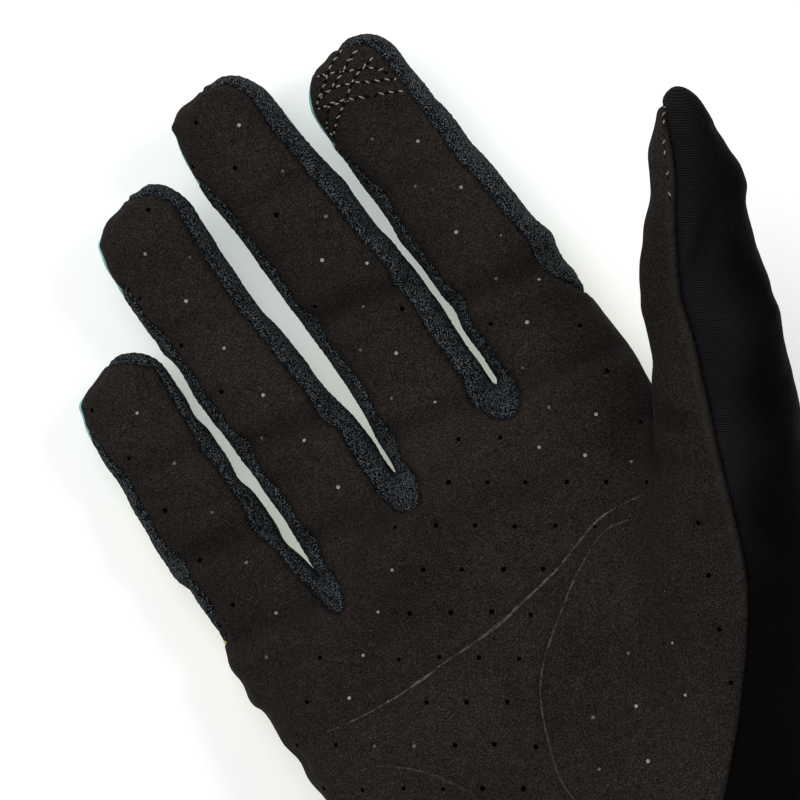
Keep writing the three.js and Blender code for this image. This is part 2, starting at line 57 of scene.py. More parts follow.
camera = bpy.data.cameras.new("camera")
camera.sensor_width = view["sensor"]
camera.lens = view["distance"] * view["pixelsPerMm"] * view["sensor"] / view["pictureWidth"]
camera.clip_start = 0.01
cameraObject = bpy.data.objects.new("camera", camera)
cameraObject.location = eye * mm
cameraObject.rotation_euler = (0, 0, roll)
bpy.context.collection.objects.link(cameraObject)
bpy.context.scene.camera = cameraObject
print("camera set")

# The form of the hand: the same named sizes as the solids, in mm.
form = {
    "wall": 1.2,
    "restPress": 1.1,
    "palmBreadth": 94.0, "palmThickness": 31.0, "palmLength": 138.8,
    "palmFrontY": 38.8, "palmFrontX": 13.7,
    "frontSlope": 0.078, "frontCurve": 0.38, "frontBlend": 0.55,
    "cupCentre": 0.05, "cupSpread": 0.3,
    "cuffLength": 22.0,
    "palmSeamHeight": 10.0, "fingerSeamHeight": 7.4, "seamDropFrom": 25.0, "seamDropTo": 5.0,
    "tipLift": 8.0, "curlAfterFront": 12.0,
    "forkDepth": 6.4,
    "thumbStart": (2.0, -58.0, 21.0), "thumbLength": 140.3, "thumbWidth": 23.0,
    "thumbRise": 32.0, "thumbLean": 28.0,
    "fingerPower": 2.35, "palmPower": 2.75, "thumbPower": 2.15,
    "fingerCap": 10.0, "palmCap": 9.0, "thumbCap": 9.0,    # lengths of the rounded ends
    "fingerBlend": 2.4, "thumbBlend": 5.0, "floorBlend": 1.6,    # fillets between the forms
}
palmStartY = form["palmFrontY"] - form["palmLength"]
cuffSeamY = palmStartY + form["cuffLength"]

# along, left, right, thick, cup: shares as in the solids
palmRows = {
    "along": [0.0, 0.16, 0.275, 0.375, 0.475, 0.59, 0.705, 0.806, 0.893, 0.95, 1.0],
    "left": [0.532, 0.49, 0.482, 0.532, 0.572, 0.588, 0.588, 0.606, 0.606, 0.596, 0.592],
    "right": [0.234, 0.213, 0.213, 0.255, 0.309, 0.351, 0.383, 0.4, 0.398, 0.396, 0.396],
    "thick": [1.42, 1.34, 1.3, 1.27, 1.23, 1.16, 1.07, 0.98, 0.9, 0.85, 0.8],
    "cup": [0, 0, 0.02, 0.05, 0.1, 0.15, 0.16, 0.12, 0.06, 0.02, 0],
}
# along, side, half, thick: the finger's line, half-width and thickness
# bandL, bandR: width of the knitted strips seen on the palm side
fingers = {
    "index": {
        "root": (26.2, 14.0), "length": 93.8, "width": 23.0, "thickness": 19.6,
        "along": [0, 0.21, 0.3, 0.37, 0.49, 0.605, 0.69, 0.76, 0.841, 0.9, 1],
        "side": [-0.08, 0, -0.02, -0.035, -0.035, -0.078, -0.105, -0.122, -0.148, -0.166, -0.146],
        "half": [0.4, 0.505, 0.5, 0.495, 0.492, 0.478, 0.446, 0.448, 0.446, 0.436, 0.43],
        "thick": [1.2, 1.1, 1.05, 1.02, 0.99, 0.98, 0.95, 0.93, 0.92, 0.9, 0.86],
        "bandAlong": [0, 0.21, 0.3, 0.37, 0.425, 0.605, 0.76, 0.841, 0.917, 0.959, 0.987],
        "bandL": [0.1, 0.1, 0.09, 0.08, 0.08, 0.07, 0.05, 0.0, -0.1, -0.1, -0.1],
        "bandR": [-0.08, -0.08, -0.04, 0.13, 0.17, 0.18, 0.16, 0.155, 0.14, 0.13, 0.12],
        "dents": [(0.22, 1.0), (0.43, 1.0), (0.69, 0.4)],
    },
    "middle": {
        "root": (1.2, 12.0), "length": 102.9, "width": 23.4, "thickness": 20.0,
        "along": [0, 0.25, 0.34, 0.4, 0.515, 0.61, 0.72, 0.827, 0.9, 1],
        "side": [0, 0, 0.008, 0.013, -0.008, -0.05, -0.077, -0.132, -0.154, -0.162],
        "half": [0.504, 0.508, 0.495, 0.483, 0.492, 0.474, 0.459, 0.444, 0.432, 0.42],
        "thick": [1.2, 1.04, 1.02, 1.02, 1.0, 0.99, 0.95, 0.92, 0.9, 0.86],
        "bandAlong": [0, 0.25, 0.34, 0.515, 0.61, 0.76, 0.827, 0.87, 0.899, 0.947, 0.99],
        "bandL": [0.1, 0.1, 0.09, 0.08, 0.075, 0.06, 0.05, 0.0, -0.1, -0.1, -0.1],
        "bandR": [0.2, 0.2, 0.19, 0.175, 0.17, 0.16, 0.15, 0.145, 0.14, 0.13, 0.12],
        "dents": [(0.27, 0.8), (0.52, 1.0), (0.76, 0.4)],
    },
    "ring": {
        "root": (-22.6, 6.0), "length": 99.7, "width": 22.0, "thickness": 19.0,
        "along": [0, 0.26, 0.36, 0.42, 0.468, 0.53, 0.605, 0.68, 0.79, 0.9, 1],
        "side": [0, 0.005, 0, -0.014, -0.04, -0.064, -0.095, -0.109, -0.145, -0.145, -0.11],
        "half": [0.495, 0.495, 0.496, 0.495, 0.475, 0.464, 0.468, 0.436, 0.445, 0.445, 0.42],
        "thick": [1.2, 1.04, 1.02, 1.0, 0.99, 0.98, 0.98, 0.95, 0.92, 0.9, 0.85],
        "bandAlong": [0, 0.26, 0.36, 0.42, 0.53, 0.605, 0.68, 0.79, 0.902, 0.94, 0.99],
        "bandL": [0.11, 0.11, 0.11, 0.1, 0.095, 0.085, 0.08, 0.06, 0.03, -0.1, -0.1],
        "bandR": [0.19, 0.19, 0.19, 0.18, 0.16, 0.15, 0.14, 0.13, 0.11, 0.1, 0.1],
        "dents": [(0.26, 0.9), (0.47, 1.0), (0.72, 0.4)],
    },
    "little": {
        "root": (-43.8, -2.0), "length": 83.9, "width": 21.0, "thickness": 17.6,
        "along": [0, 0.25, 0.31, 0.365, 0.45, 0.52, 0.63, 0.715, 0.803, 0.88, 1],
        "side": [0.1, -0.01, -0.02, -0.045, -0.065, -0.095, -0.115, -0.12, -0.115, -0.11, -0.06],
        "half": [0.44, 0.59, 0.56, 0.505, 0.49, 0.5, 0.498, 0.465, 0.46, 0.45, 0.43],
        "thick": [1.3, 1.14, 1.05, 1.02, 1.02, 0.99, 0.99, 0.95, 0.94, 0.91, 0.86],
        "bandAlong": [0, 0.25, 0.31, 0.365, 0.45, 0.52, 0.63, 0.803, 0.892, 0.93, 0.98],
        "bandL": [-0.08, -0.08, -0.04, 0.06, 0.12, 0.13, 0.12, 0.08, 0.03, -0.1, -0.1],
        "bandR": [0.14, 0.14, 0.14, 0.14, 0.14, 0.14, 0.13, 0.09, 0.06, 0.05, 0.05],
        "dents": [(0.31, 0.9), (0.52, 1.0), (0.74, 0.4)],
    },
}
thumbRows = {
    "along": [0, 0.185, 0.361, 0.47, 0.55, 0.629, 0.687, 0.732, 0.796, 0.858, 0.894, 0.93, 1],
    "side": [0, 0.0145, 0.026, 0.034, 0.0405, 0.036, 0.031, 0.0195, 0.0125, 0.013, 0.015, 0.008, 0],
    "rise": [0, 0.03, 0.11, 0.2, 0.28, 0.41, 0.53, 0.59, 0.72, 0.84, 0.91, 0.95, 1],
    "half": [0.62, 0.74, 0.74, 0.665, 0.593, 0.545, 0.52, 0.51, 0.445, 0.375, 0.345, 0.27, 0.17],
    "deep": [0.58, 0.72, 0.74, 0.66, 0.56, 0.5, 0.47, 0.455, 0.43, 0.4, 0.37, 0.33, 0.24],
    "seam": [-0.35, 0, 0.12, -0.05, -0.25, -0.35, -0.43, -0.43, -0.43, -0.5, -0.55, -0.6, -0.8],
}


def columnAt(rows, column, t, along="along"):
    # cubic Hermite curve through a table's rows, each row's slope from its two neighbours
    a = np.asarray(rows[along], dtype=float)
    v = np.asarray(rows[column], dtype=float)
    before = np.maximum(np.arange(len(a)) - 1, 0)
    after = np.minimum(np.arange(len(a)) + 1, len(a) - 1)
    slope = (v[after] - v[before]) / (a[after] - a[before])
    i = np.clip(np.searchsorted(a, t, side="right") - 1, 0, len(a) - 2)
    span = a[i + 1] - a[i]
    u = np.clip((t - a[i]) / span, 0, 1)
    rise = 3 * u**2 - 2 * u**3
    ease = (u**3 - 2 * u**2 + u) * slope[i] + (u**3 - u**2) * slope[i + 1]
    return v[i] * (1 - rise) + v[i + 1] * rise + span * ease


def smoothStep(start, end, value):
    u = np.clip((value - start) / (end - start), 0, 1)
    return u * u * (3 - 2 * u)


def bump(distance, width):
    # a bell of height 1 across a line
    return np.exp(-(distance / width) ** 2)


def ripple(points, wavelength, seed, waves=14):
    # soft unevenness: the mean of sine waves in random directions, about -1 to 1
    draw = np.random.default_rng(seed)
    directions = draw.normal(size=(waves, 3))
    directions /= np.linalg.norm(directions, axis=1)[:, None]
    lengths = wavelength * draw.uniform(0.7, 1.5, waves)
    phases = draw.uniform(0, 2 * math.pi, waves)
    total = np.zeros(len(points))
    for direction, length, phase in zip(directions, lengths, phases):
        total += np.sin(points @ direction * (2 * math.pi / length) + phase)
    return total * math.sqrt(2 / waves) * 0.7


def blendUnion(a, b, size):
    # the lesser of two distances, with a fillet of the given size between them
    h = np.clip(0.5 + 0.5 * (b - a) / size, 0, 1)
    return b * (1 - h) + a * h - size * h * (1 - h)


longest = max(finger["root"][1] + finger["length"] for finger in fingers.values())
curlStartY = form["palmFrontY"] + form["curlAfterFront"]


def curlAt(y):
    share = np.maximum((y - curlStartY) / (longest - curlStartY), 0)
    return form["tipLift"] * share**2


def frontDrop(x):
    share = (x - form["palmFrontX"]) / form["palmBreadth"]
    return form["palmBreadth"] * share * (form["frontSlope"] - form["frontCurve"] * share)


def fingerField(finger, x, y, z):
    # superellipse section around the finger's line, closed by a superellipsoid at the tip
    rootX, rootY = finger["root"]
    station = np.clip((y - rootY) / finger["length"], 0, 1)
    half = finger["width"] * columnAt(finger, "half", station)
    centre = rootX + finger["width"] * columnAt(finger, "side", station)
    sunk = finger["thickness"] * 0.3 * (1 - smoothStep(0, 0.3, station))
    tuck = finger["thickness"] * 0.07 * (1 - smoothStep(0, 0.25, 1 - station))
    low = curlAt(y) - form["restPress"] + sunk
    high = curlAt(y) + finger["thickness"] * columnAt(finger, "thick", station)
    middle = (low + high) / 2 + tuck
    height = (high - low) / 2
    cap = form["fingerCap"]
    past = np.maximum(y - (rootY + finger["length"] - cap), 0) / cap + np.maximum(rootY - y, 0) / cap
    power = form["fingerPower"]
    across = np.abs((x - centre) / half) ** power
    up = np.abs((z - middle) / height) ** power
    return ((across + up + past**power) ** (1 / power) - 1) * np.minimum(half, height)


def palmField(x, y, z):
    # superellipse section across the palm, hollowed on top and bent to the slanting front
    breadth, length, thickness = form["palmBreadth"], form["palmLength"], form["palmThickness"]
    straight = y + 0 * x
    for _ in range(3):
        bend = smoothStep(form["frontBlend"], 1, (straight - palmStartY) / length)
        straight = y - frontDrop(x) * bend
    station = np.clip((straight - palmStartY) / length, 0, 1)
    left = breadth * columnAt(palmRows, "left", station)
    right = breadth * columnAt(palmRows, "right", station)
    high = thickness * columnAt(palmRows, "thick", station)
    height = (high + form["restPress"]) / 2
    middle = (high - form["restPress"]) / 2
    fromCup = (x / breadth + form["cupCentre"]) / form["cupSpread"]
    hollow = thickness * columnAt(palmRows, "cup", station) * np.exp(-fromCup**2)
    lift = z - middle
    lift = np.where(lift > 0, lift / (1 - hollow / height), lift)
    cap = form["palmCap"]
    past = np.maximum(straight - (palmStartY + length - cap), 0) / cap
    power = form["palmPower"]
    across = np.abs((x - (right - left) / 2) / ((left + right) / 2)) ** power
    return ((across + np.abs(lift / height) ** power + past**power) ** (1 / power) - 1) * height


lean = math.radians(form["thumbLean"])
thumbAxis = np.array([math.sin(lean), math.cos(lean)])
thumbOuter = np.array([math.cos(lean), -math.sin(lean)])


def thumbPlace(x, y):
    # how far along the thumb's line a point is, and how far to its outer side
    startX, startY, _ = form["thumbStart"]
    along = (x - startX) * thumbAxis[0] + (y - startY) * thumbAxis[1]
    side = (x - startX) * thumbOuter[0] + (y - startY) * thumbOuter[1]
    station = np.clip(along / form["thumbLength"], 0, 1)
    return along, side - form["thumbLength"] * columnAt(thumbRows, "side", station), station


def thumbField(x, y, z):
    # upright superellipse sections around the rising thumb line, closed at the tip
    along, side, station = thumbPlace(x, y)
    half = form["thumbWidth"] * columnAt(thumbRows, "half", station)
    deep = form["thumbWidth"] * columnAt(thumbRows, "deep", station)
    middle = form["thumbStart"][2] + form["thumbRise"] * columnAt(thumbRows, "rise", station)
    cap = form["thumbCap"]
    past = np.maximum(along - (form["thumbLength"] - cap), 0) / cap + np.maximum(-along, 0) / cap
    power = form["thumbPower"]
    across = np.abs(side / half) ** power
    up = np.abs((z - middle) / deep) ** power
    return ((across + up + past**power) ** (1 / power) - 1) * np.minimum(half, deep)


def gloveField(x, y, z):
    # palm and thumb joined by a broad fillet, the fingers by a small one, pressed flat underneath
    body = blendUnion(palmField(x, y, z), thumbField(x, y, z), form["thumbBlend"])
    reach = fingerField(fingers["index"], x, y, z)
    for name in ("middle", "ring", "little"):
        reach = np.minimum(reach, fingerField(fingers[name], x, y, z))
    whole = blendUnion(body, reach, form["fingerBlend"])
    return -blendUnion(-whole, z, form["floorBlend"])


def sampleGlove(low, high, step):
    # the field on a grid, each form worked out only inside its own box
    axes = [np.arange(a, b, s) for a, b, s in zip(low, high, step)]
    shape = tuple(len(a) for a in axes)
    body = np.full(shape, 30.0, dtype=np.float32)
    reach = np.full(shape, 30.0, dtype=np.float32)

    def fill(target, field, boxLow, boxHigh, size=None):
        cut = [slice(*np.searchsorted(a, (l, h))) for a, l, h in zip(axes, boxLow, boxHigh)]
        x, y, z = (axes[0][cut[0], None, None], axes[1][None, cut[1], None], axes[2][None, None, cut[2]])
        value = field(x, y, z)
        old = target[tuple(cut)]
        target[tuple(cut)] = np.minimum(old, value) if size is None else blendUnion(old, value, size)

    fill(body, palmField, (-64, -120, -4), (46, 52, 54))
    fill(body, thumbField, (-26, -80, -4), (84, 80, 72), form["thumbBlend"])
    for finger in fingers.values():
        rootX, rootY = finger["root"]
        wide = 0.8 * finger["width"]
        field = lambda x, y, z, finger=finger: fingerField(finger, x, y, z)
        fill(reach, field, (rootX - wide, rootY - 12, -4), (rootX + wide, rootY + finger["length"] + 3, 40))
    whole = blendUnion(body, reach, form["fingerBlend"])
    return -blendUnion(-whole, axes[2][None, None, :], form["floorBlend"])


def surfaceNet(value, low, step):
    # one point in each cell that the surface crosses, the mean of its edge crossings,
    # and a quad across each grid edge that it crosses
    inside = value < 0
    nx, ny, nz = value.shape
    count = np.zeros((nx - 1, ny - 1, nz - 1), dtype=np.uint8)
    corners = [(i, j, k) for i in (0, 1) for j in (0, 1) for k in (0, 1)]
    for i, j, k in corners:
        count += inside[i:nx - 1 + i, j:ny - 1 + j, k:nz - 1 + k]
    mixed = (count > 0) & (count < 8)
    cells = np.argwhere(mixed)
    number = np.full(mixed.shape, -1, dtype=np.int64)
    number[mixed] = np.arange(len(cells))
    total = np.zeros((len(cells), 3))
    hits = np.zeros(len(cells))
    for a in corners:
        for axis in range(3):
            if a[axis]:
                continue
            b = list(a)
            b[axis] = 1
            va = value[tuple((cells + a).T)]
            vb = value[tuple((cells + b).T)]
            crossed = (va < 0) != (vb < 0)
            share = np.where(crossed, va / np.where(crossed, va - vb, 1), 0)
            place = np.broadcast_to(np.array(a, dtype=float), (len(cells), 3)).copy()
            place[:, axis] = share
            total += place * crossed[:, None]
            hits += crossed
    points = (cells + total / hits[:, None]) * step + low
    quads = []
    for axis in range(3):
        u, v = (axis + 1) % 3, (axis + 2) % 3
        first = [slice(None)] * 3
        second = [slice(None)] * 3
        first[axis] = slice(0, -1)
        second[axis] = slice(1, None)
        for side in (u, v):
            first[side] = slice(1, -1)
            second[side] = slice(1, -1)
        a, b = inside[tuple(first)], inside[tuple(second)]
        edge = np.argwhere(a != b)
        outward = a[tuple(edge.T)]
        edge[:, u] += 1
        edge[:, v] += 1
        around = []
        for du, dv in ((1, 1), (0, 1), (0, 0), (1, 0)):
            cell = edge.copy()
            cell[:, u] -= du
            cell[:, v] -= dv
            around.append(number[tuple(cell.T)])
        quad = np.stack(around, axis=1)
        quad[~outward] = quad[~outward][:, ::-1]
        quads.append(quad)
    quads = np.concatenate(quads)
    return points, np.concatenate([quads[:, [0, 1, 2]], quads[:, [0, 2, 3]]])


def slopeOf(points):
    # the field's gradient by central differences
    small = 0.05
    slope = np.empty_like(points)
    for axis in range(3):
        shift = np.zeros(3)
        shift[axis] = small
        ahead = gloveField(*(points + shift).T)
        behind = gloveField(*(points - shift).T)
        slope[:, axis] = (ahead - behind) / (2 * small)
    return slope


def settle(points, rounds=2):
    # Newton steps onto the surface; returns the points and their outward directions
    for _ in range(rounds):
        slope = slopeOf(points)
        value = gloveField(*points.T)
        points = points - slope * (value / np.maximum((slope**2).sum(1), 1e-6))[:, None]
    slope = slopeOf(points)
    return points, slope / np.linalg.norm(slope, axis=1)[:, None]


# Seams. Each is a line in plan, or a height, and panels meet along it.
seams = {
    "crownShare": 0.985, "crownDrop": 4.0, "crownCorner": 0.12,
    "ulnarStart": 0.86, "outerStart": 0.93, "outerEnd": 0.3, "crotchStation": 0.4,
    "outside": 0.6, "outsideFree": 3.0, "drift": 0.035,
    "valley": 0.5, "valleyWidth": 0.6,    # mm, how deep and wide the stitching draws the edges in
    "puff": 0.14, "puffAt": 1.8, "puffWidth": 1.2,    # the roll of cloth beside it
}


def edgeX(finger, station, radial):
    # where the side of a finger is in plan: radial is 1 for the thumb's side, -1 for the other
    middle = finger["root"][0] + finger["width"] * columnAt(finger, "side", station)
    half = finger["width"] * columnAt(finger, "half", station)
    cap = form["fingerCap"]
    past = np.maximum((station - 1) * finger["length"] + cap, 0) / cap
    return middle + radial * half * np.clip(1 - past**form["fingerPower"], 0, 1) ** (1 / form["fingerPower"])


def seamLine(finger, radial, fromY, toY, steps=48):
    # where suede and knitted strip meet on one side of a finger
    y = np.linspace(fromY, toY, steps)
    station = (y - finger["root"][1]) / finger["length"]
    band = columnAt(finger, "bandR" if radial > 0 else "bandL", station, "bandAlong")
    return np.stack([edgeX(finger, station, radial) - radial * finger["width"] * band, y], axis=1)


def tipY(finger):
    return finger["root"][1] + finger["length"]


def crownY(finger):
    return finger["root"][1] + finger["length"] * seams["crownShare"]


def crownPoints(finger):
    shift = finger["width"] * columnAt(finger, "side", seams["crownShare"])
    corner = edgeX(finger, 0.97, 1) - seams["crownCorner"] * finger["width"]
    return np.array([
        [finger["root"][0] + shift - 1, tipY(finger) + seams["outside"]],
        [finger["root"][0] + shift + 1.5, tipY(finger) - 1.2],
        [corner, crownY(finger) - 1.5],
    ])


def forkOutline(ulnar, radial):
    # down the radial side of one finger, round the crotch in half an ellipse, up the next
    station = seams["crotchStation"]
    middleX = (edgeX(ulnar, station, 1) + edgeX(radial, station, -1)) / 2
    crotchY = form["palmFrontY"] + frontDrop(middleX)
    startY = radial["root"][1] + radial["length"] * seams["ulnarStart"]
    down = seamLine(ulnar, 1, crownY(ulnar) - seams["crownDrop"], crotchY)
    up = seamLine(radial, -1, crotchY, startY)
    angle = np.linspace(math.pi, 2 * math.pi, 18)[1:-1]
    fromX, toX = down[-1, 0], up[0, 0]
    arcX = (fromX + toX) / 2 + (toX - fromX) / 2 * np.cos(angle)
    arc = np.stack([arcX, crotchY + form["forkDepth"] * np.sin(angle)], axis=1)
    laneY = np.linspace(startY, max(startY, tipY(ulnar) + seams["outside"]), 12)[1:]
    laneStation = np.minimum((laneY - radial["root"][1]) / radial["length"], seams["crownShare"])
    lane = np.stack([edgeX(radial, laneStation, -1) - seams["outside"], laneY], axis=1)
    return np.concatenate([crownPoints(ulnar), down, arc, up, lane])


def sideOutline(finger, radial):
    topY = crownY(finger) - seams["crownDrop"]
    if radial < 0:
        topY = finger["root"][1] + finger["length"] * seams["outerStart"]
    seam = seamLine(finger, radial, topY, finger["root"][1] + finger["length"] * seams["outerEnd"])
    station = (seam[:, 1] - finger["root"][1]) / finger["length"]
    free = np.stack([edgeX(finger, station, radial) + seams["outsideFree"] * radial, seam[:, 1]], axis=1)
    outline = [seam, free[::-1]]
    if radial > 0:
        outline = [np.array([[free[0, 0], tipY(finger) + seams["outside"]]]), crownPoints(finger)] + outline
    return np.concatenate(outline)


stripOutlines = {
    "fourchette_index_middle": forkOutline(fingers["middle"], fingers["index"]),
    "fourchette_middle_ring": forkOutline(fingers["ring"], fingers["middle"]),
    "fourchette_ring_little": forkOutline(fingers["little"], fingers["ring"]),
    "index_side_strip": sideOutline(fingers["index"], 1),
    "little_side_strip": sideOutline(fingers["little"], -1),
}


def outlineDistance(outline, points, reach=9.0):
    # signed distance in plan to a closed outline, less than 0 inside, the way to it,
    # and how far along the outline the nearest place is
    distance = np.full(len(points), reach)
    run = np.zeros(len(points))
    way = np.zeros((len(points), 2))
    way[:, 0] = 1
    low, high = outline.min(0) - reach, outline.max(0) + reach
    near = np.flatnonzero(((points[:, :2] > low) & (points[:, :2] < high)).all(1))
    if not len(near):
        return distance, way, run
    p = points[near, None, :2]
    a = outline[None]
    b = np.roll(outline, -1, axis=0)[None]
    span = np.sqrt(((b - a) ** 2).sum(2))
    along = np.clip(((p - a) * (b - a)).sum(2) / np.maximum(span**2, 1e-9), 0, 1)
    gap = p - (a + along[..., None] * (b - a))
    size = np.sqrt((gap**2).sum(2))
    nearest = size.argmin(1)
    rows = np.arange(len(near))
    crosses = (a[..., 1] > p[..., 1]) != (b[..., 1] > p[..., 1])
    rise = np.where(b[..., 1] == a[..., 1], 1, b[..., 1] - a[..., 1])
    level = (b[..., 0] - a[..., 0]) * (p[..., 1] - a[..., 1]) / rise + a[..., 0]
    within = (crosses & (p[..., 0] < level)).sum(1) % 2 == 1
    sign = np.where(within, -1.0, 1.0)
    best = size[rows, nearest]
    distance[near] = np.minimum(best, reach) * sign
    way[near] = gap[rows, nearest] / np.maximum(best, 1e-6)[:, None]
    before = np.concatenate([[0], np.cumsum(span[0])])
    run[near] = before[nearest] + along[rows, nearest] * span[0, nearest]
    return distance, way, run


def overSurface(distance, way, normals):
    # a distance in plan, measured over the sloping surface instead
    lost = (way * normals[:, :2]).sum(1)
    return distance / np.sqrt(np.clip(1 - lost**2, 0.02, 1))


# How the back seam climbs beside the fingertips, where the back of the glove shows at the edge.
tipShow = {"height": 3.6, "across": 0.42, "back": 7.0, "spread": 7.5}


def seamHeightAt(x, y):
    share = smoothStep(form["palmFrontY"] - form["seamDropFrom"], form["palmFrontY"] + form["seamDropTo"], y)
    height = form["palmSeamHeight"] + (form["fingerSeamHeight"] - form["palmSeamHeight"]) * share + curlAt(y)
    for finger in fingers.values():
        cornerX = finger["root"][0] + finger["width"] * (columnAt(finger, "side", 0.93) - tipShow["across"])
        away = np.hypot(x - cornerX, y - (tipY(finger) - tipShow["back"]))
        height = height + tipShow["height"] * bump(away, tipShow["spread"])
    return height


def thumbSeamLine():
    station = np.linspace(0, 1, 80)
    half = form["thumbWidth"] * columnAt(thumbRows, "half", station)
    side = form["thumbLength"] * columnAt(thumbRows, "side", station)
    side = side + half * columnAt(thumbRows, "seam", station)
    start = np.array(form["thumbStart"][:2])
    line = start + np.outer(station * form["thumbLength"], thumbAxis) + np.outer(side, thumbOuter)
    drift = seams["drift"] * form["palmBreadth"]
    foot = np.array([
        [line[0, 0] - drift, palmStartY - 10],
        [line[0, 0] - drift, cuffSeamY],
        [line[0, 0] - drift / 2, (cuffSeamY + line[0, 1]) / 2],
    ])
    return np.concatenate([foot, line])


thumbSeam = thumbSeamLine()
farX = 2 * form["palmBreadth"]
thumbRegion = np.concatenate([
    thumbSeam,
    [[thumbSeam[-1, 0] + 1, longest], [farX, longest], [farX, palmStartY - 10]],
])


def seamFields(points, normals):
    # columns: strips, back seam, thumb seam, cuff seam, cuff end, all in mm over the surface,
    # then how far along the strips' seams and the thumb seam
    strips = np.full(len(points), 9.0)
    stripRun = np.zeros(len(points))
    for outline in stripOutlines.values():
        distance, way, run = outlineDistance(outline, points)
        distance = overSurface(distance, way, normals)
        stripRun = np.where(distance < strips, run, stripRun)
        strips = np.minimum(strips, distance)
    x, y, z = points.T
    slant = np.sqrt(np.clip(1 - normals[:, 2] ** 2, 0.02, 1))
    back = (z - seamHeightAt(x, y)) / slant
    distance, way, thumbRun = outlineDistance(thumbRegion, points, 12.0)
    thumb = overSurface(distance, way, normals)
    return np.stack([strips, back, thumb, y - cuffSeamY, y - palmStartY, stripRun, thumbRun], axis=1)


def splitAt(points, fields, triangles, column, level, snap=0.06):
    # cuts the triangles that one level line crosses, with new points on the line
    value = fields[:, column] - level
    sign = np.where(np.abs(value) < snap, 0, np.sign(value)).astype(int)
    ends = np.stack([triangles, np.roll(triangles, -1, axis=1)], axis=2)
    crossed = sign[ends[..., 0]] * sign[ends[..., 1]] < 0
    touched = crossed.any(1)
    if not touched.any():
        return points, fields, triangles
    work, cut = triangles[touched], crossed[touched]
    key = np.sort(ends[touched], axis=2)
    flat = (key[..., 0] * np.int64(len(points)) + key[..., 1])[cut]
    unique, back = np.unique(flat, return_inverse=True)
    a, b = unique // len(points), unique % len(points)
    share = (value[a] / (value[a] - value[b]))[:, None]
    number = np.full(cut.shape, -1, dtype=np.int64)
    number[cut] = len(points) + back.ravel()
    both = cut.sum(1) == 2
    made = [triangles[~touched]]
    two, twoNumber, twoCut = work[both], number[both], cut[both]
    turn = np.where(~twoCut[:, 1], 0, np.where(~twoCut[:, 2], 1, 2))
    order = (np.arange(3)[None] + turn[:, None]) % 3
    v = np.take_along_axis(two, order, axis=1)
    n = np.take_along_axis(twoNumber, order, axis=1)
    made += [np.stack(t, axis=1) for t in (
        (v[:, 0], n[:, 0], n[:, 2]), (n[:, 0], v[:, 1], v[:, 2]), (n[:, 0], v[:, 2], n[:, 2]))]
    one, oneNumber, oneCut = work[~both], number[~both], cut[~both]
    turn = oneCut.argmax(1)
    order = (np.arange(3)[None] + turn[:, None]) % 3
    v = np.take_along_axis(one, order, axis=1)
    n = np.take_along_axis(oneNumber, order, axis=1)[:, 0]
    made += [np.stack(t, axis=1) for t in ((v[:, 0], n, v[:, 2]), (n, v[:, 1], v[:, 2]))]
    points = np.concatenate([points, points[a] + (points[b] - points[a]) * share])
    fields = np.concatenate([fields, fields[a] + (fields[b] - fields[a]) * share])
    return points, fields, np.concatenate(made)


gridStep = np.array([0.62, 1.0, 0.85])
gridLow = np.array([-60.0, palmStartY - 3, -1.6])
value = sampleGlove(gridLow, (76, 119, 62), gridStep)
points, triangles = surfaceNet(value, gridLow, gridStep)
del value
points, normals = settle(points)
print("form meshed:", len(points), "points,", len(triangles), "triangles")

fields = seamFields(points, normals)
for column, levels in ((4, [0]), (0, [0, -0.6, 0.35, 0.8, -1.5, 1.6]), (1, [0, -0.7, 0.7]),
                       (2, [0, -0.6, 0.6, -1.5, 1.5]), (3, [0, -0.7, 0.7])):
    for level in levels:
        points, fields, triangles = splitAt(points, fields, triangles, column, level)
middleOf = fields[triangles].mean(1)
triangles = triangles[middleOf[:, 4] > 0]
middleOf = fields[triangles].mean(1)
centres = points[triangles].mean(1)
print("seams cut:", len(triangles), "triangles")

panelOf = np.zeros(len(triangles), dtype=int)    # 0 palm, 1 back, 2 thumb back, 3 cuff, 4.. strips
above = middleOf[:, 1] > 0
panelOf[above & (middleOf[:, 2] < 0)] = 2
for order, outline in enumerate(stripOutlines.values()):
    distance, _, _ = outlineDistance(outline, centres)
    panelOf[above & (middleOf[:, 0] < 0) & (distance < 0)] = 4 + order
panelOf[~above] = 1
panelOf[middleOf[:, 3] < 0] = 3


# Folds and dents in the filled-out cloth, all as moves along the surface's outward direction.
folds = {
    "dent": 1.5, "dentWidth": 2.6, "dentBulge": 0.55, "dentSlant": 0.16,
    "slack": 0.24, "slackLength": 17.0, "rumple": 0.08, "rumpleLength": 5.0,
    "creaseDepth": 0.45, "creaseWidth": 0.7, "creaseLip": 0.22,
}
# Lines pressed into the suede, in mm on the scale plane: from the web of the thumb across the palm,
# round the ball of the thumb, and over the heel.
creases = {
    "across": [(26.9, 6.4), (21.0, 7.6), (14.6, 7.4), (4.6, 4.2), (-7.9, 1.8), (-14.9, 1.0), (-23.7, 0.8),
               (-32.9, 0.4), (-43.4, 1.2), (-50.8, 2.7)],
    "thumbBall": [(22.6, 4.1), (15.0, 5.1), (6.7, 1.2), (-1.6, -4.5), (-7.6, -9.4), (-11.5, -14.6),
                  (-14.4, -21.5), (-16.4, -28.7), (-16.3, -33.6), (-14.5, -42.0), (-11.0, -51.0)],
    "heel": [(-47.6, -7.0), (-42.4, -9.1), (-36.2, -14.9), (-32.4, -20.9), (-31.4, -23.8), (-31.5, -30.0)],
}
# Where the thumb's root overlaps the palm: a line of painted shade, in mm on the scale plane.
webShadeLine = [(37.9, 24.4), (36.4, 21.0), (34.1, 17.6), (30.8, 12.0), (27.7, 6.3)]
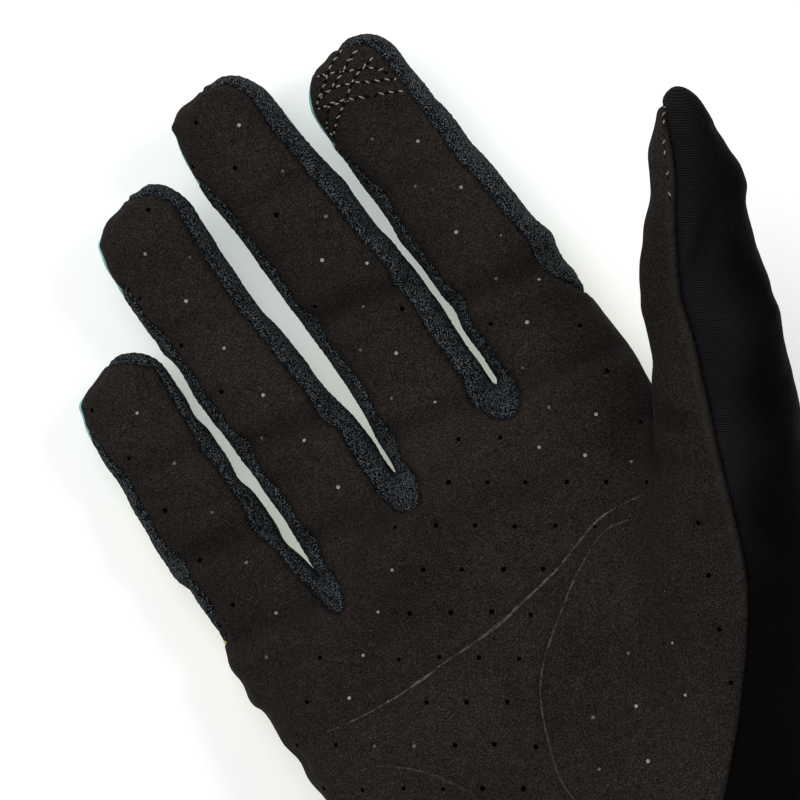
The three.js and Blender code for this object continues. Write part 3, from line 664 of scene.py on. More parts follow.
# Soft folds over the ball of the thumb and the finger roots: two ends in mm, depth and width.
softFolds = [
    ((66.0, 46.0), (54.5, 35.0), 1.1, 1.6),
    ((31.8, 21.8), (39.5, 10.5), 1.0, 2.2),
    ((26.6, -3.6), (37.5, -4.5), 0.9, 2.2),
    ((30.0, 12.0), (41.0, 2.0), 0.7, 2.6),
    ((-30.0, 26.0), (-14.0, 27.5), 0.8, 2.6),
    ((-9.0, 31.0), (9.0, 34.0), 0.8, 2.6),
    ((-54.0, 19.0), (-34.0, 15.0), 1.0, 2.8),
    ((12.0, 30.0), (34.0, 27.0), 0.8, 2.8),
    ((-40.0, 8.0), (-16.0, 15.0), 0.6, 3.0),
    ((-6.0, 20.0), (18.0, 18.0), 0.6, 3.0),
]


# Small pushes (+) and pulls (-) of the cloth's sides in mm, where the photo's outline has them: place
# in px, move, reach in px, and which way the side faces in the picture (1 right, -1 left, 0 any).
outlineMoves = [
    (322, 60, -0.9, 24, 0), (192, 95, -1.25, 26, 0), (173, 129, 0.6, 9, 0), (117, 208, -1.3, 28, 0),
    (102, 246, 0.4, 10, 0), (97, 379, -1.5, 28, 0), (80, 406, 0.7, 12, 0), (744, 185, 0.8, 22, 0),
    (766, 272, 0.8, 34, 0), (778, 308, 0.6, 20, 0), (717, 128, -0.5, 16, 0), (651, 155, 0.6, 38, 0),
    (642, 250, -0.3, 25, 0), (550, 235, 0.7, 22, 0), (576, 270, 0.7, 16, 0), (437, 95, -0.4, 16, 0),
    (455, 310, -0.8, 24, -1), (405, 240, 0.3, 18, -1), (335, 150, 0.4, 14, -1), (262, 300, -0.5, 44, 1),
    (330, 375, -0.4, 30, 1), (370, 215, -0.4, 36, 1), (478, 360, 0.4, 18, 1), (205, 412, -0.9, 22, 1),
    (245, 470, -1.0, 26, 1), (288, 540, -0.8, 26, 1), (163, 352, 0.5, 14, -1), (112, 485, -0.3, 30, 0),
    (256, 702, 1.9, 30, 0), (298, 762, -2.2, 32, 0), (190, 590, -0.5, 18, 0), (232, 665, 0.8, 22, 0),
    (338, 43, -0.5, 12, 0), (210, 81, -0.6, 11, 0), (137, 190, -0.7, 13, 0),
]


def fromPicture(x, y):
    # a place in the 800 px picture, on the scale plane in mm
    across = (np.asarray(x, dtype=float) - 400) / view["pixelsPerMm"]
    up = (400 - np.asarray(y, dtype=float)) / view["pixelsPerMm"]
    return np.array(view["axis"]) + across[..., None] * pictureRight + up[..., None] * pictureUp


def smoothLine(knots, count=120):
    # Catmull-Rom curve through given points, in even steps of its parameter
    knots = np.asarray(knots, dtype=float)
    padded = np.concatenate([[2 * knots[0] - knots[1]], knots, [2 * knots[-1] - knots[-2]]])
    t = np.linspace(0, len(knots) - 1 - 1e-9, count)
    i = t.astype(int)
    u = (t - i)[:, None]
    p0, p1, p2, p3 = padded[i], padded[i + 1], padded[i + 2], padded[i + 3]
    return 0.5 * (2 * p1 + (p2 - p0) * u + (2 * p0 - 5 * p1 + 4 * p2 - p3) * u**2
                  + (3 * p1 - p0 - 3 * p2 + p3) * u**3)


def onPlane(points):
    # where the camera sees a point against the scale plane
    share = view["distance"] / (eye[2] - points[:, 2])
    return eye[:2] + (points[:, :2] - eye[:2]) * share[:, None]


def lineDistance(line, flat):
    # distance to an open line, and how far along it the nearest place is, from 0 to 1
    a, b = line[None, :-1], line[None, 1:]
    p = flat[:, None]
    along = np.clip(((p - a) * (b - a)).sum(2) / ((b - a) ** 2).sum(2), 0, 1)
    gap = np.sqrt(((p - a - along[..., None] * (b - a)) ** 2).sum(2))
    nearest = gap.argmin(1)
    share = (nearest + along[np.arange(len(flat)), nearest]) / (len(line) - 1)
    return gap.min(1), share


# Stitching draws small bites into the seams and a row of puckers along the middle of each strip.
sewing = {
    "pitch": 1.9, "wander": 0.16, "bite": 0.35,
    "puckerPitch": 3.7, "puckerAt": 1.5, "puckerDepth": 0.6, "puckerWidth": 0.5,
    "grain": 0.07, "grainLength": 0.9,
    "hem": 5.0, "hemRise": 0.5,
}


def dentMoves(points, upper):
    # flexion dents across the fingers, with a low roll on each side of them
    x, y, _ = points.T
    move = np.zeros(len(points))
    for finger in fingers.values():
        rootX, rootY = finger["root"]
        station = np.clip((y - rootY) / finger["length"], 0, 1)
        side = (x - rootX) / finger["width"] - columnAt(finger, "side", station)
        on = smoothStep(0.62, 0.5, np.abs(side)) * upper
        for share, strength in finger["dents"]:
            off = y - (rootY + finger["length"] * share) + folds["dentSlant"] * (x - rootX)
            move -= on * folds["dent"] * strength * (1 - 0.7 * np.abs(side)) * bump(off, folds["dentWidth"])
            for shift in (-1.9, 1.9):
                lip = bump(off - shift * folds["dentWidth"], 1.3 * folds["dentWidth"])
                move += on * folds["dentBulge"] * strength * lip
    return move


def foldMoves(points, upper):
    # pressed crease lines and soft folds, placed where the camera sees them on the scale plane
    move = np.zeros(len(points))
    seen = np.flatnonzero((upper > 0.01) & (points[:, 1] < 52) & (points[:, 1] > -60))
    if not len(seen):
        return move
    flat = onPlane(points[seen])
    for knots in creases.values():
        gap, share = lineDistance(smoothLine(knots, 60), flat)
        fade = smoothStep(0, 0.08, share) * smoothStep(1, 0.8, share) * upper[seen]
        move[seen] -= fade * folds["creaseDepth"] * bump(gap, folds["creaseWidth"])
        move[seen] += fade * folds["creaseLip"] * bump(gap - 1.5, 0.8)
    for start, end, depth, width in softFolds:
        gap, share = lineDistance(np.array([start, end]), flat)
        fade = np.sin(math.pi * np.clip(share, 0, 1)) ** 0.7 * upper[seen]
        move[seen] -= fade * depth * (bump(gap, width) - 0.55 * bump(gap - 1.8 * width, 1.1 * width))
    return move


# how far a push reaches as a share of its own reach, and how upright the cloth is where it is felt
outlineReach = {"core": 0.62, "none": 0.9, "full": 0.45}


def outlineShift(points, normals):
    # the pushes and pulls, felt only where the cloth turns away from the camera
    flat = onPlane(points)
    share = np.zeros(len(points))
    facing = normals[:, :2] @ pictureRight
    for x, y, amount, reach, side in outlineMoves:
        gap = np.linalg.norm(flat - fromPicture(x, y), axis=1)
        on = smoothStep(-0.1, 0.3, side * facing) if side else 1
        share += amount * on * bump(gap, outlineReach["core"] * reach / view["pixelsPerMm"])
    return share * smoothStep(outlineReach["none"], outlineReach["full"], np.abs(normals[:, 2]))


def dressed(points, normals, isStrip):
    # the panel's points with folds, seams and stitching, how dark each is in a seam, with painted shade in
    # dents, folds, puckers, the hem, the thumb's web and the crotches, and how far it is from the thumb seam
    # and the back seam
    strips, back, thumb, cuffLine, end, stripRun, thumbRun = seamFields(points, normals).T
    upper = smoothStep(0.1, 0.5, normals[:, 2]) * (back > 0)
    free = smoothStep(0.0, 3.0, points[:, 2])
    dents, pressed = dentMoves(points, upper), foldMoves(points, upper)
    move = dents + pressed + outlineShift(points, normals)
    move += free * folds["slack"] * ripple(points, folds["slackLength"], 11)
    move += free * folds["rumple"] * ripple(points, folds["rumpleLength"], 12)
    turn = 2 * math.pi / sewing["pitch"]
    wander = sewing["wander"] * (np.sin(turn * stripRun) + 0.7 * np.sin(0.37 * turn * stripRun + 1))
    above = back > -0.5
    stripGap = np.where(above, np.abs(strips + wander), 9)
    thumbGap = np.where(above, np.abs(thumb + 0.5 * sewing["wander"] * np.sin(turn * thumbRun)), 9)
    near = np.minimum.reduce([stripGap, np.abs(back), thumbGap, np.abs(cuffLine)])
    run = np.where(stripGap < thumbGap, stripRun, thumbRun)
    bite = 1 + sewing["bite"] * np.cos(turn * run)
    move -= seams["valley"] * bite * bump(near, seams["valleyWidth"])
    move += seams["puff"] * bump(near - seams["puffAt"], seams["puffWidth"])
    shade = 0.9 * bump(near, 0.4)
    # painted shade in the dents and folds, where shade falls
    shade = np.maximum(shade, np.clip(-0.36 * (dents + pressed), 0, 0.5) * upper)
    # painted shade along the line where the thumb's root overlaps the palm
    web = np.flatnonzero((np.abs(points[:, 0] - 33) < 9) & (np.abs(points[:, 1] - 15) < 13) & (upper > 0.01))
    if len(web):
        gap, share = lineDistance(smoothLine(webShadeLine, 40), onPlane(points[web]))
        fade = smoothStep(1.0, 0.7, share)
        shade[web] = np.maximum(shade[web], 0.85 * fade * bump(gap, 0.9))
    # painted shade on the back's bright cloth in the crotches between the fingers
    x, y, _ = points.T
    between = (back < 0) & (x > fingers["little"]["root"][0]) & (x < fingers["index"]["root"][0])
    crotchShade = smoothStep(10, 4, y - form["palmFrontY"] - frontDrop(x)) * smoothStep(5, 1, np.abs(back))
    shade = np.where(between & (strips < 0.5), np.maximum(shade, crotchShade), shade)
    if isStrip:
        turns = 2 * math.pi * stripRun / sewing["puckerPitch"] + 2 * np.sin(stripRun)
        beat = (0.5 + 0.5 * np.cos(turns)) ** 5
        pucker = bump(strips + sewing["puckerAt"], sewing["puckerWidth"]) * beat
        move -= sewing["puckerDepth"] * pucker
        move += sewing["grain"] * ripple(points, sewing["grainLength"], 13)
        # painted shade in the puckers' hollows
        shade = np.maximum(shade, 0.9 * pucker)
    hem = smoothStep(sewing["hem"] + 0.6, sewing["hem"] - 0.6, end)
    move += sewing["hemRise"] * (hem - 1.4 * bump(end - sewing["hem"], 0.7) - bump(end, 1.0))
    # painted shade in the fold at the hem
    shade = np.maximum(shade, 0.6 * bump(end - sewing["hem"], 0.5))
    hold = smoothStep(0.2, 2.5, points[:, 2])
    moved = points + normals * (move * hold)[:, None]
    moved[:, 2] = np.maximum(moved[:, 2], 0.0)
    return moved, np.clip(shade, 0, 1), thumb, back


def quartered(points, faces):
    # each triangle into four, by the middles of its sides
    count = len(faces)
    edges = np.sort(np.concatenate([faces[:, [0, 1]], faces[:, [1, 2]], faces[:, [2, 0]]]), axis=1)
    unique, back = np.unique(edges, axis=0, return_inverse=True)
    back = back.ravel() + len(points)
    ab, bc, ca = back[:count], back[count:2 * count], back[2 * count:]
    a, b, c = faces.T
    faces = np.concatenate([np.stack(t, axis=1) for t in (
        (a, ab, ca), (ab, b, bc), (ca, bc, c), (ab, bc, ca))])
    return np.concatenate([points, (points[unique[:, 0]] + points[unique[:, 1]]) / 2]), faces


# Meshes
def newMesh(name, vertices, faces, material, attributes=None):
    mesh = bpy.data.meshes.new(name)
    mesh.vertices.add(len(vertices))
    mesh.vertices.foreach_set("co", (np.asarray(vertices) * mm).astype(np.float32).ravel())
    faces = np.asarray(faces, dtype=np.int32)
    corners = faces.shape[1]
    mesh.loops.add(faces.size)
    mesh.loops.foreach_set("vertex_index", faces.ravel())
    mesh.polygons.add(len(faces))
    mesh.polygons.foreach_set("loop_start", np.arange(0, faces.size, corners, dtype=np.int32))
    mesh.polygons.foreach_set("use_smooth", np.full(len(faces), True))
    for key, values in (attributes or {}).items():
        layer = mesh.attributes.new(key, "FLOAT", "POINT")
        layer.data.foreach_set("value", np.asarray(values, dtype=np.float32))
    mesh.update()
    mesh.validate()
    mesh.materials.append(material)
    piece = bpy.data.objects.new(name, mesh)
    bpy.context.collection.objects.link(piece)
    return piece


def applied(piece):
    # the piece with its modifiers worked into the mesh
    graph = bpy.context.evaluated_depsgraph_get()
    graph.update()
    mesh = bpy.data.meshes.new_from_object(piece.evaluated_get(graph))
    old = piece.data
    piece.modifiers.clear()
    piece.data = mesh
    bpy.data.meshes.remove(old)
    return piece


def thicken(piece, thickness):
    wall = piece.modifiers.new("wall", "SOLIDIFY")
    wall.thickness = thickness * mm
    wall.offset = -1
    wall.use_rim = True
    wall.use_even_offset = False
    return piece


# Materials
def nodeTree(name):
    material = bpy.data.materials.new(name)
    material.use_nodes = True
    tree = material.node_tree
    tree.nodes.clear()
    out = tree.nodes.new("ShaderNodeOutputMaterial")
    shader = tree.nodes.new("ShaderNodeBsdfPrincipled")
    tree.links.new(shader.outputs["BSDF"], out.inputs["Surface"])
    return material, tree, shader


def addNode(tree, kind, inputs=None, **settings):
    node = tree.nodes.new(kind)
    for key, setting in settings.items():
        setattr(node, key, setting)
    for key, source in (inputs or {}).items():
        if isinstance(source, bpy.types.NodeSocket):
            tree.links.new(source, node.inputs[key])
        else:
            node.inputs[key].default_value = source
    return node


def noiseOf(tree, scale, detail=3, roughness=0.6):
    place = addNode(tree, "ShaderNodeTexCoord").outputs["Object"]
    node = addNode(tree, "ShaderNodeTexNoise", {"Vector": place, "Scale": scale, "Detail": detail,
                                                "Roughness": roughness})
    return node.outputs["Fac"]


def rampOf(tree, value, stops):
    node = addNode(tree, "ShaderNodeValToRGB", {"Fac": value})
    ramp = node.color_ramp
    while len(ramp.elements) < len(stops):
        ramp.elements.new(0.5)
    for element, (place, colour) in zip(ramp.elements, stops):
        element.position = place
        element.color = (*colour, 1)
    return node.outputs["Color"]


def mathOf(tree, operation, a, b=0.0, clamp=False):
    node = addNode(tree, "ShaderNodeMath", {0: a, 1: b}, operation=operation, use_clamp=clamp)
    return node.outputs["Value"]


def mixOf(tree, share, a, b, blend="MIX"):
    node = addNode(tree, "ShaderNodeMix", {"Factor": share}, data_type="RGBA", blend_type=blend)
    for index, source in ((6, a), (7, b)):
        if isinstance(source, bpy.types.NodeSocket):
            tree.links.new(source, node.inputs[index])
        else:
            node.inputs[index].default_value = (*source, 1)
    return node.outputs[2]


def attributeOf(tree, name):
    return addNode(tree, "ShaderNodeAttribute", attribute_name=name).outputs["Fac"]


def bumpOf(tree, shader, layers):
    # height maps laid over one another: (height, strength, distance in mm)
    normal = None
    for height, strength, distance in layers:
        inputs = {"Height": height, "Strength": strength, "Distance": distance * mm}
        if normal is not None:
            inputs["Normal"] = normal
        normal = addNode(tree, "ShaderNodeBump", inputs).outputs["Normal"]
    tree.links.new(normal, shader.inputs["Normal"])


def setShader(shader, **values):
    for key, setting in values.items():
        shader.inputs[key.replace("_", " ")].default_value = setting


def waveOf(tree, name, pitch):
    # a sine wave over an attribute in mm, from 0 to 1
    turn = mathOf(tree, "SINE", mathOf(tree, "MULTIPLY", attributeOf(tree, name), 2 * math.pi / pitch))
    node = addNode(tree, "ShaderNodeMath", {0: turn, 1: 0.5, 2: 0.5}, operation="MULTIPLY_ADD")
    return node.outputs["Value"]


def toned(tree, base, share, stops):
    # a colour made lighter and darker by a ramp of tones
    return mixOf(tree, 1.0, base, rampOf(tree, share, stops), "MULTIPLY")


def finishCloth(tree, shader, base, seamAndShadeColour, layers, **values):
    # the colour darkened in its seams and by painted shade in folds, puckers and crotches, the relief and
    # the shader's values
    base = mixOf(tree, attributeOf(tree, "shaded"), base, seamAndShadeColour)
    tree.links.new(base, shader.inputs["Base Color"])
    setShader(shader, **values)
    bumpOf(tree, shader, layers)


# Each look's seam colour is the darkest its cloth gets, in the seams and as painted shade.
suedeLook = {
    "deep": (0.0026, 0.0021, 0.0018), "mid": (0.0090, 0.0072, 0.0062), "fibre": (0.0355, 0.0301, 0.0266),
    "paleEdge": (0.018, 0.015, 0.013), "seam": (0.003, 0.0027, 0.0027),
    "napScale": 4200, "mottleScale": 700, "cloudScale": 38, "sheen": 0.012,
}


def suedeMaterial():
    material, tree, shader = nodeTree("suede")
    look = suedeLook
    nap = noiseOf(tree, look["napScale"], 4, 0.7)
    mottle = noiseOf(tree, look["mottleScale"], 4, 0.65)
    cloud = noiseOf(tree, look["cloudScale"], 3, 0.5)
    base = rampOf(tree, nap, [(0.38, look["deep"]), (0.5, look["mid"]), (0.66, look["fibre"])])
    base = toned(tree, base, mottle, [(0.3, (0.78, 0.77, 0.78)), (0.7, (1.22, 1.2, 1.17))])
    base = toned(tree, base, cloud, [(0.3, (0.8, 0.8, 0.82)), (0.7, (1.18, 1.15, 1.12))])
    # the suede painted lighter in a band along the thumb seam
    base = mixOf(tree, attributeOf(tree, "paleEdge"), base, look["paleEdge"])
    finishCloth(tree, shader, base, look["seam"], [(mottle, 0.35, 0.5), (nap, 0.5, 0.16)], Roughness=0.95,
                Specular_IOR_Level=0.05, Sheen_Weight=look["sheen"], Sheen_Roughness=0.45)
    shader.inputs["Sheen Tint"].default_value = (0.9, 0.82, 0.75, 1)
    return material


knitLook = {
    "deep": (0.0010, 0.0012, 0.0015), "mid": (0.0130, 0.0155, 0.0185), "light": (0.19, 0.21, 0.225),
    "seam": (0.002, 0.0022, 0.0026), "loopScale": 3300, "sheen": 0.0,
}


def knitMaterial():
    material, tree, shader = nodeTree("knit")
    look = knitLook
    place = addNode(tree, "ShaderNodeTexCoord").outputs["Object"]
    loops = addNode(tree, "ShaderNodeTexVoronoi", {"Vector": place, "Scale": look["loopScale"],
                                                   "Randomness": 0.75})
    height = mathOf(tree, "SUBTRACT", 1.0, mathOf(tree, "MULTIPLY", loops.outputs["Distance"], 1.5), True)
    speck = noiseOf(tree, 5200, 2, 0.6)
    mixed = mathOf(tree, "MULTIPLY", height, mathOf(tree, "ADD", 0.3, speck), True)
    base = rampOf(tree, mixed, [(0.14, look["deep"]), (0.34, look["mid"]), (0.62, look["light"])])
    finishCloth(tree, shader, base, look["seam"], [(mixed, 0.9, 0.3)], Roughness=0.85,
                Specular_IOR_Level=0.06, Sheen_Weight=look["sheen"], Sheen_Roughness=0.4)
    return material


stretchLook = {
    "base": (0.0019, 0.0019, 0.0022), "rib": (0.0100, 0.0098, 0.0114), "turned": (0.0005, 0.0005, 0.0006),
    "seam": (0.0008, 0.0008, 0.0010), "ribPitch": 0.44, "walePitch": 0.55,
}


def stretchMaterial():
    material, tree, shader = nodeTree("stretch")
    look = stretchLook
    rib = waveOf(tree, "ribPlace", look["ribPitch"])
    wale = waveOf(tree, "ribAcross", look["walePitch"])
    weave = mathOf(tree, "ADD", mathOf(tree, "MULTIPLY", rib, 0.75), mathOf(tree, "MULTIPLY", wale, 0.25))
    base = rampOf(tree, weave, [(0.15, look["base"]), (0.9, look["rib"])])
    cloud = noiseOf(tree, 60, 2, 0.5)
    base = toned(tree, base, cloud, [(0.3, (0.85, 0.85, 0.87)), (0.7, (1.12, 1.12, 1.12))])
    # painted shade where the ribbed cloth turns away from the light
    base = mixOf(tree, attributeOf(tree, "turned"), base, look["turned"])
    finishCloth(tree, shader, base, look["seam"], [(weave, 0.8, 0.13)], Roughness=0.7,
                Specular_IOR_Level=0.02, Sheen_Weight=0.003, Sheen_Roughness=0.35)
    return material


backLook = {
    "teal": (0.16, 0.42, 0.38), "lime": (0.42, 0.55, 0.10), "hole": (0.02, 0.05, 0.045),
    "seam": (0.02, 0.05, 0.05), "meshScale": 900,
}


def backMaterial():
    material, tree, shader = nodeTree("back_mesh")
    look = backLook
    place = addNode(tree, "ShaderNodeTexCoord").outputs["Object"]
    cells = addNode(tree, "ShaderNodeTexVoronoi", {"Vector": place, "Scale": look["meshScale"],
                                                   "Randomness": 0.12})
    yarn = mathOf(tree, "MULTIPLY", cells.outputs["Distance"], 1.7, True)
    base = mixOf(tree, attributeOf(tree, "fade"), look["lime"], look["teal"])
    cloud = noiseOf(tree, 180, 3, 0.6)
    base = toned(tree, base, cloud, [(0.3, (0.85, 0.85, 0.85)), (0.7, (1.1, 1.1, 1.1))])
    base = mixOf(tree, mathOf(tree, "SUBTRACT", 0.55, yarn, True), base, look["hole"])
    finishCloth(tree, shader, base, look["seam"], [(yarn, 0.6, 0.25)], Roughness=0.7,
                Specular_IOR_Level=0.3, Sheen_Weight=0.1, Sheen_Roughness=0.4)
    return material


cuffLook = {
    "base": (0.0026, 0.0026, 0.0034), "rib": (0.0095, 0.0095, 0.0115), "seam": (0.0018, 0.0018, 0.0024),
    "ribPitch": 1.1,
}


def cuffMaterial():
    material, tree, shader = nodeTree("cuff")
    look = cuffLook
    rib = waveOf(tree, "ribAcross", look["ribPitch"])
    grain = noiseOf(tree, 2200, 2, 0.6)
    mixed = mathOf(tree, "ADD", mathOf(tree, "MULTIPLY", rib, 0.75), mathOf(tree, "MULTIPLY", grain, 0.25))
    base = rampOf(tree, mixed, [(0.2, look["base"]), (0.85, look["rib"])])
    finishCloth(tree, shader, base, look["seam"], [(mixed, 0.6, 0.3)], Roughness=0.8,
                Specular_IOR_Level=0.15, Sheen_Weight=0.03, Sheen_Roughness=0.4)
    return material


def threadMaterial(name, colour, roughness=0.6, second=None, shine=0.35, scale=2600, spread=(0.7, 1.2)):
    material, tree, shader = nodeTree(name)
    tone = rampOf(tree, noiseOf(tree, scale, 2, 0.6), [
        (0.36, tuple(spread[0] * c for c in colour)), (0.64, tuple(min(spread[1] * c, 1) for c in colour))])
    if second is not None:
        tone = mixOf(tree, waveOf(tree, "ply", 1), tone, second)
    tree.links.new(tone, shader.inputs["Base Color"])
    setShader(shader, Roughness=roughness, Specular_IOR_Level=shine)
    bumpOf(tree, shader, [(noiseOf(tree, 4200, 2, 0.6), 0.4, 0.08)])
    return material


suede, knit, stretch, backMesh, cuffCloth = (
    suedeMaterial(), knitMaterial(), stretchMaterial(), backMaterial(), cuffMaterial())
paleThread = threadMaterial("pale_thread", (0.33, 0.29, 0.215), 0.6, (0.06, 0.062, 0.062), 0.2)
# black for the stitches that paint the shadow lines between the pale stitches
stitchShadow = threadMaterial("stitch_shadow", (0.0012, 0.0012, 0.0014), 0.8, shine=0.04)
# light-grey colours in three strengths for the crease beads: painted highlights along the pressed crease
# lines
creaseHighlight = threadMaterial("crease_highlight", (0.036, 0.036, 0.034), 0.9, None, 0.1, 900, (0.4, 1.7))
creaseHighlightMid = threadMaterial("crease_highlight_mid", (0.026, 0.026, 0.0248), 0.9, None, 0.1, 900, (0.4, 1.6))
creaseHighlightFaint = threadMaterial("crease_highlight_faint", (0.017, 0.017, 0.0162), 0.9, None, 0.1, 900, (0.4, 1.6))
print("materials made")

panels = {
    "palm_panel": {"code": 0, "slot": "suede", "material": suede, "wall": 0.95,
                   "reads": ("shaded", "paleEdge")},
    "hand_back_panel": {"code": 1, "slot": "back_mesh", "material": backMesh, "wall": 0.9,
                        "reads": ("shaded", "fade")},
    "thumb_back_panel": {"code": 2, "slot": "stretch", "material": stretch, "wall": 0.9,
                         "reads": ("shaded", "ribPlace", "ribAcross", "turned")},
    "cuff_band": {"code": 3, "slot": "cuff", "material": cuffCloth, "wall": 1.4,
                  "reads": ("shaded", "ribAcross")},
}
for order, name in enumerate(stripOutlines):
    panels[name] = {"code": 4 + order, "slot": "knit", "material": knit, "wall": 0.9, "reads": ("shaded",)}

# Painted shade on the ribbed cloth where it turns away from the light: along the thumb's side, with an
# uneven edge, at the wrist, and how much of that stays where it can't be seen from above.
turnedAway = {"thumb": 0.93, "from": -1.5, "to": 8.0, "drift": 1.8, "wrist": 0.9, "hidden": 0.4}

panelPieces = {}
suedeOuter = None
for name, panel in panels.items():
    used, flat = np.unique(triangles[panelOf == panel["code"]], return_inverse=True)
    place, faces = points[used], flat.reshape(-1, 3)
    isStrip = panel["code"] >= 4
    if isStrip:
        place, faces = quartered(place, faces)
    place, normals = settle(place, 1)
    moved, shade, thumb, back = dressed(place, normals, isStrip)
    alongThumb, acrossThumb, _ = thumbPlace(place[:, 0], place[:, 1])
    girth = np.arctan2(place[:, 2] - 20, place[:, 0] + 14) * 30
    drifting = acrossThumb + turnedAway["drift"] * ripple(place, 24, 31)
    onThumb = turnedAway["thumb"] * smoothStep(turnedAway["from"], turnedAway["to"], drifting)
    onWrist = turnedAway["wrist"] * smoothStep(8, -20, place[:, 1])
    seenShare = turnedAway["hidden"] + (1 - turnedAway["hidden"]) * smoothStep(-0.3, 0.1, normals[:, 2])
    values = {
        "shaded": shade,
        # a lighter band on the suede along the thumb seam, fading toward the wrist
        "paleEdge": 0.5 * bump(thumb - 1.1, 0.55) * smoothStep(-20, 0, place[:, 1]) * (back > 0),
        "fade": np.clip(smoothStep(30, 85, place[:, 1]) + 0.15 * ripple(place, 30, 21), 0, 1),
        "ribPlace": alongThumb + 0.35 * (place[:, 2] - 30),
        "turned": np.maximum(onThumb, onWrist) * seenShare,
        "ribAcross": girth if name == "cuff_band" else acrossThumb + place[:, 2],
    }
    piece = newMesh(name + "_cloth", moved, faces, panel["material"],
                    {key: values[key] for key in panel["reads"]})
    if name == "palm_panel":
        suedeOuter = BVHTree.FromPolygons(moved.tolist(), faces.tolist())
    thicken(piece, panel["wall"])
    applied(piece)
    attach(piece, "root")
    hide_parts(name)
    panelPieces[name] = piece
    print(name, "made:", len(piece.data.polygons), "faces")


def onSuede(flat):
    # where the camera's rays through places on the scale plane meet the dressed suede
    spots, ways, kept = [], [], []
    for index, (x, y) in enumerate(flat):
        ray = Vector((x, y, view["planeHeight"])) - Vector(eye)
        spot, way, _, _ = suedeOuter.ray_cast(Vector(eye), ray.normalized())
        if spot is not None and way.z > 0.1:
            spots.append(spot)
            ways.append(way)
            kept.append(index)
    return np.array(spots).reshape(-1, 3), np.array(ways).reshape(-1, 3), np.array(kept, dtype=int)


# Perforations in rows, read off the photo: one lattice for each finger, one for the palm and one
# for the ball of the thumb. start, down and across in px, with the rows and columns to try.
# The holes that differ are read off singly, in px: pale ones that show the lining, dim ones that show it in
# painted shade, and dark ones off the rows, painted black as shade. Each takes the place of a lattice hole
# within the snap, in mm.
# Radius and depth in mm are for dark, dim and pale.
perforations = {
    "lattices": {
        "index": {"start": (372, 139), "down": (41.0, 46.4), "across": (45, 1.5), "rows": (0, 6)},
        "middle": {"start": (196, 123), "down": (40.4, 46.2), "across": (44, 2), "rows": (0, 6)},
        "ring": {"start": (104, 207), "down": (40.5, 46.7), "across": (44, 2), "rows": (0, 6)},
        "little": {"start": (102, 363), "down": (35.5, 50.0), "across": (44, 3), "rows": (0, 5)},
        "palm": {"start": (459, 438), "down": (-12, 43.9), "across": (40, 0), "rows": (0, 9)},
        "thumbBall": {"start": (673, 643), "down": (10.5, 53), "across": (-47, 14), "rows": (-3, 4)},
    },
    "columns": (-4, 9),
    "radius": (0.46, 0.38, 0.38), "depth": (0.66, 0.34, 0.2), "sides": 14, "spare": 1.7, "jitter": 0.3,
    "pale": [
        (418, 141), (461, 187), (456, 232), (539, 279), (527, 322), (239, 125), (322, 260), (367, 263),
        (396, 353), (145, 254), (186, 301), (224, 348), (263, 395), (304, 440), (137, 413), (338, 487),
        (539, 447), (585, 455), (596, 414), (435, 402), (392, 570), (378, 612), (363, 655), (349, 698),
        (672, 643), (636, 706), (685, 695), (648, 761), (276, 613)],
    "dim": [
        (372, 139), (415, 186), (501, 235), (496, 278), (283, 171), (326, 216), (363, 306), (360, 350),
        (190, 257), (246, 562), (631, 461), (414, 746), (388, 701), (374, 746), (664, 591), (628, 653),
        (599, 769), (593, 717), (174, 463), (212, 512), (261, 438), (266, 657), (522, 368), (391, 398),
        (265, 328), (549, 407)],
    "dark": [(607, 371), (641, 422), (233, 605), (476, 405), (441, 356)],
    "snap": 2.4,
}
# the crease round the ball of the thumb in px, which parts two lattices: height, then place across
ballEdge = (
    (440, 500, 520, 545, 580, 600, 640, 690, 740, 790),
    (700, 650, 625, 600, 575, 562, 548, 541, 548, 565),
)


def perforationPlaces():
    # the lattices' places on the scale plane, with the ones read off singly put in, and their kinds
    places = []
    for name, lattice in perforations["lattices"].items():
        rows = np.arange(*lattice["rows"])
        columns = np.arange(*perforations["columns"])
        i, j = np.meshgrid(rows, columns, indexing="ij")
        x = lattice["start"][0] + i * lattice["down"][0] + j * lattice["across"][0]
        y = lattice["start"][1] + i * lattice["down"][1] + j * lattice["across"][1]
        x, y = x.ravel(), y.ravel()
        flat = fromPicture(x, y)
        edge = np.interp(y, *ballEdge)
        front = form["palmFrontY"] + frontDrop(flat[:, 0])
        if name == "palm":
            keep = (x < edge - 9) & (flat[:, 1] < front - 2.5) & ((y > 460) | (x < 560))
        elif name == "thumbBall":
            keep = (x > 696) & (y > 510) & (x < 745)
        else:
            finger = fingers[name]
            station = (flat[:, 1] - finger["root"][1]) / finger["length"]
            middle = finger["root"][0] + finger["width"] * columnAt(finger, "side", np.clip(station, 0, 1))
            beside = np.abs(flat[:, 0] - middle) < 0.55 * finger["width"]
            keep = beside & (flat[:, 1] > front - 1) & (station < 0.97)
            if name == "index":
                keep &= (y > 125)
        places.append(flat[keep] + rng.normal(0, perforations["jitter"] / 2, (keep.sum(), 2)))
    places = np.concatenate(places)
    kinds = np.zeros(len(places), dtype=int)
    for kind, name in enumerate(("dark", "dim", "pale")):
        for x, y in perforations[name]:
            spot = fromPicture(x, y)
            gaps = np.linalg.norm(places - spot, axis=1)
            if gaps.min() < perforations["snap"]:
                places[gaps.argmin()] = spot
                kinds[gaps.argmin()] = kind
            else:
                places = np.concatenate([places, spot[None]])
                kinds = np.concatenate([kinds, [kind]])
    return places, kinds


def clearOfSeams(spots, ways, spare):
    # keeps only places further than spare, in mm, from every seam
    strips, back, thumb, cuffLine = seamFields(spots, ways)[:, :4].T
    return (strips > spare) & (back > spare) & (thumb > spare) & (cuffLine > spare)


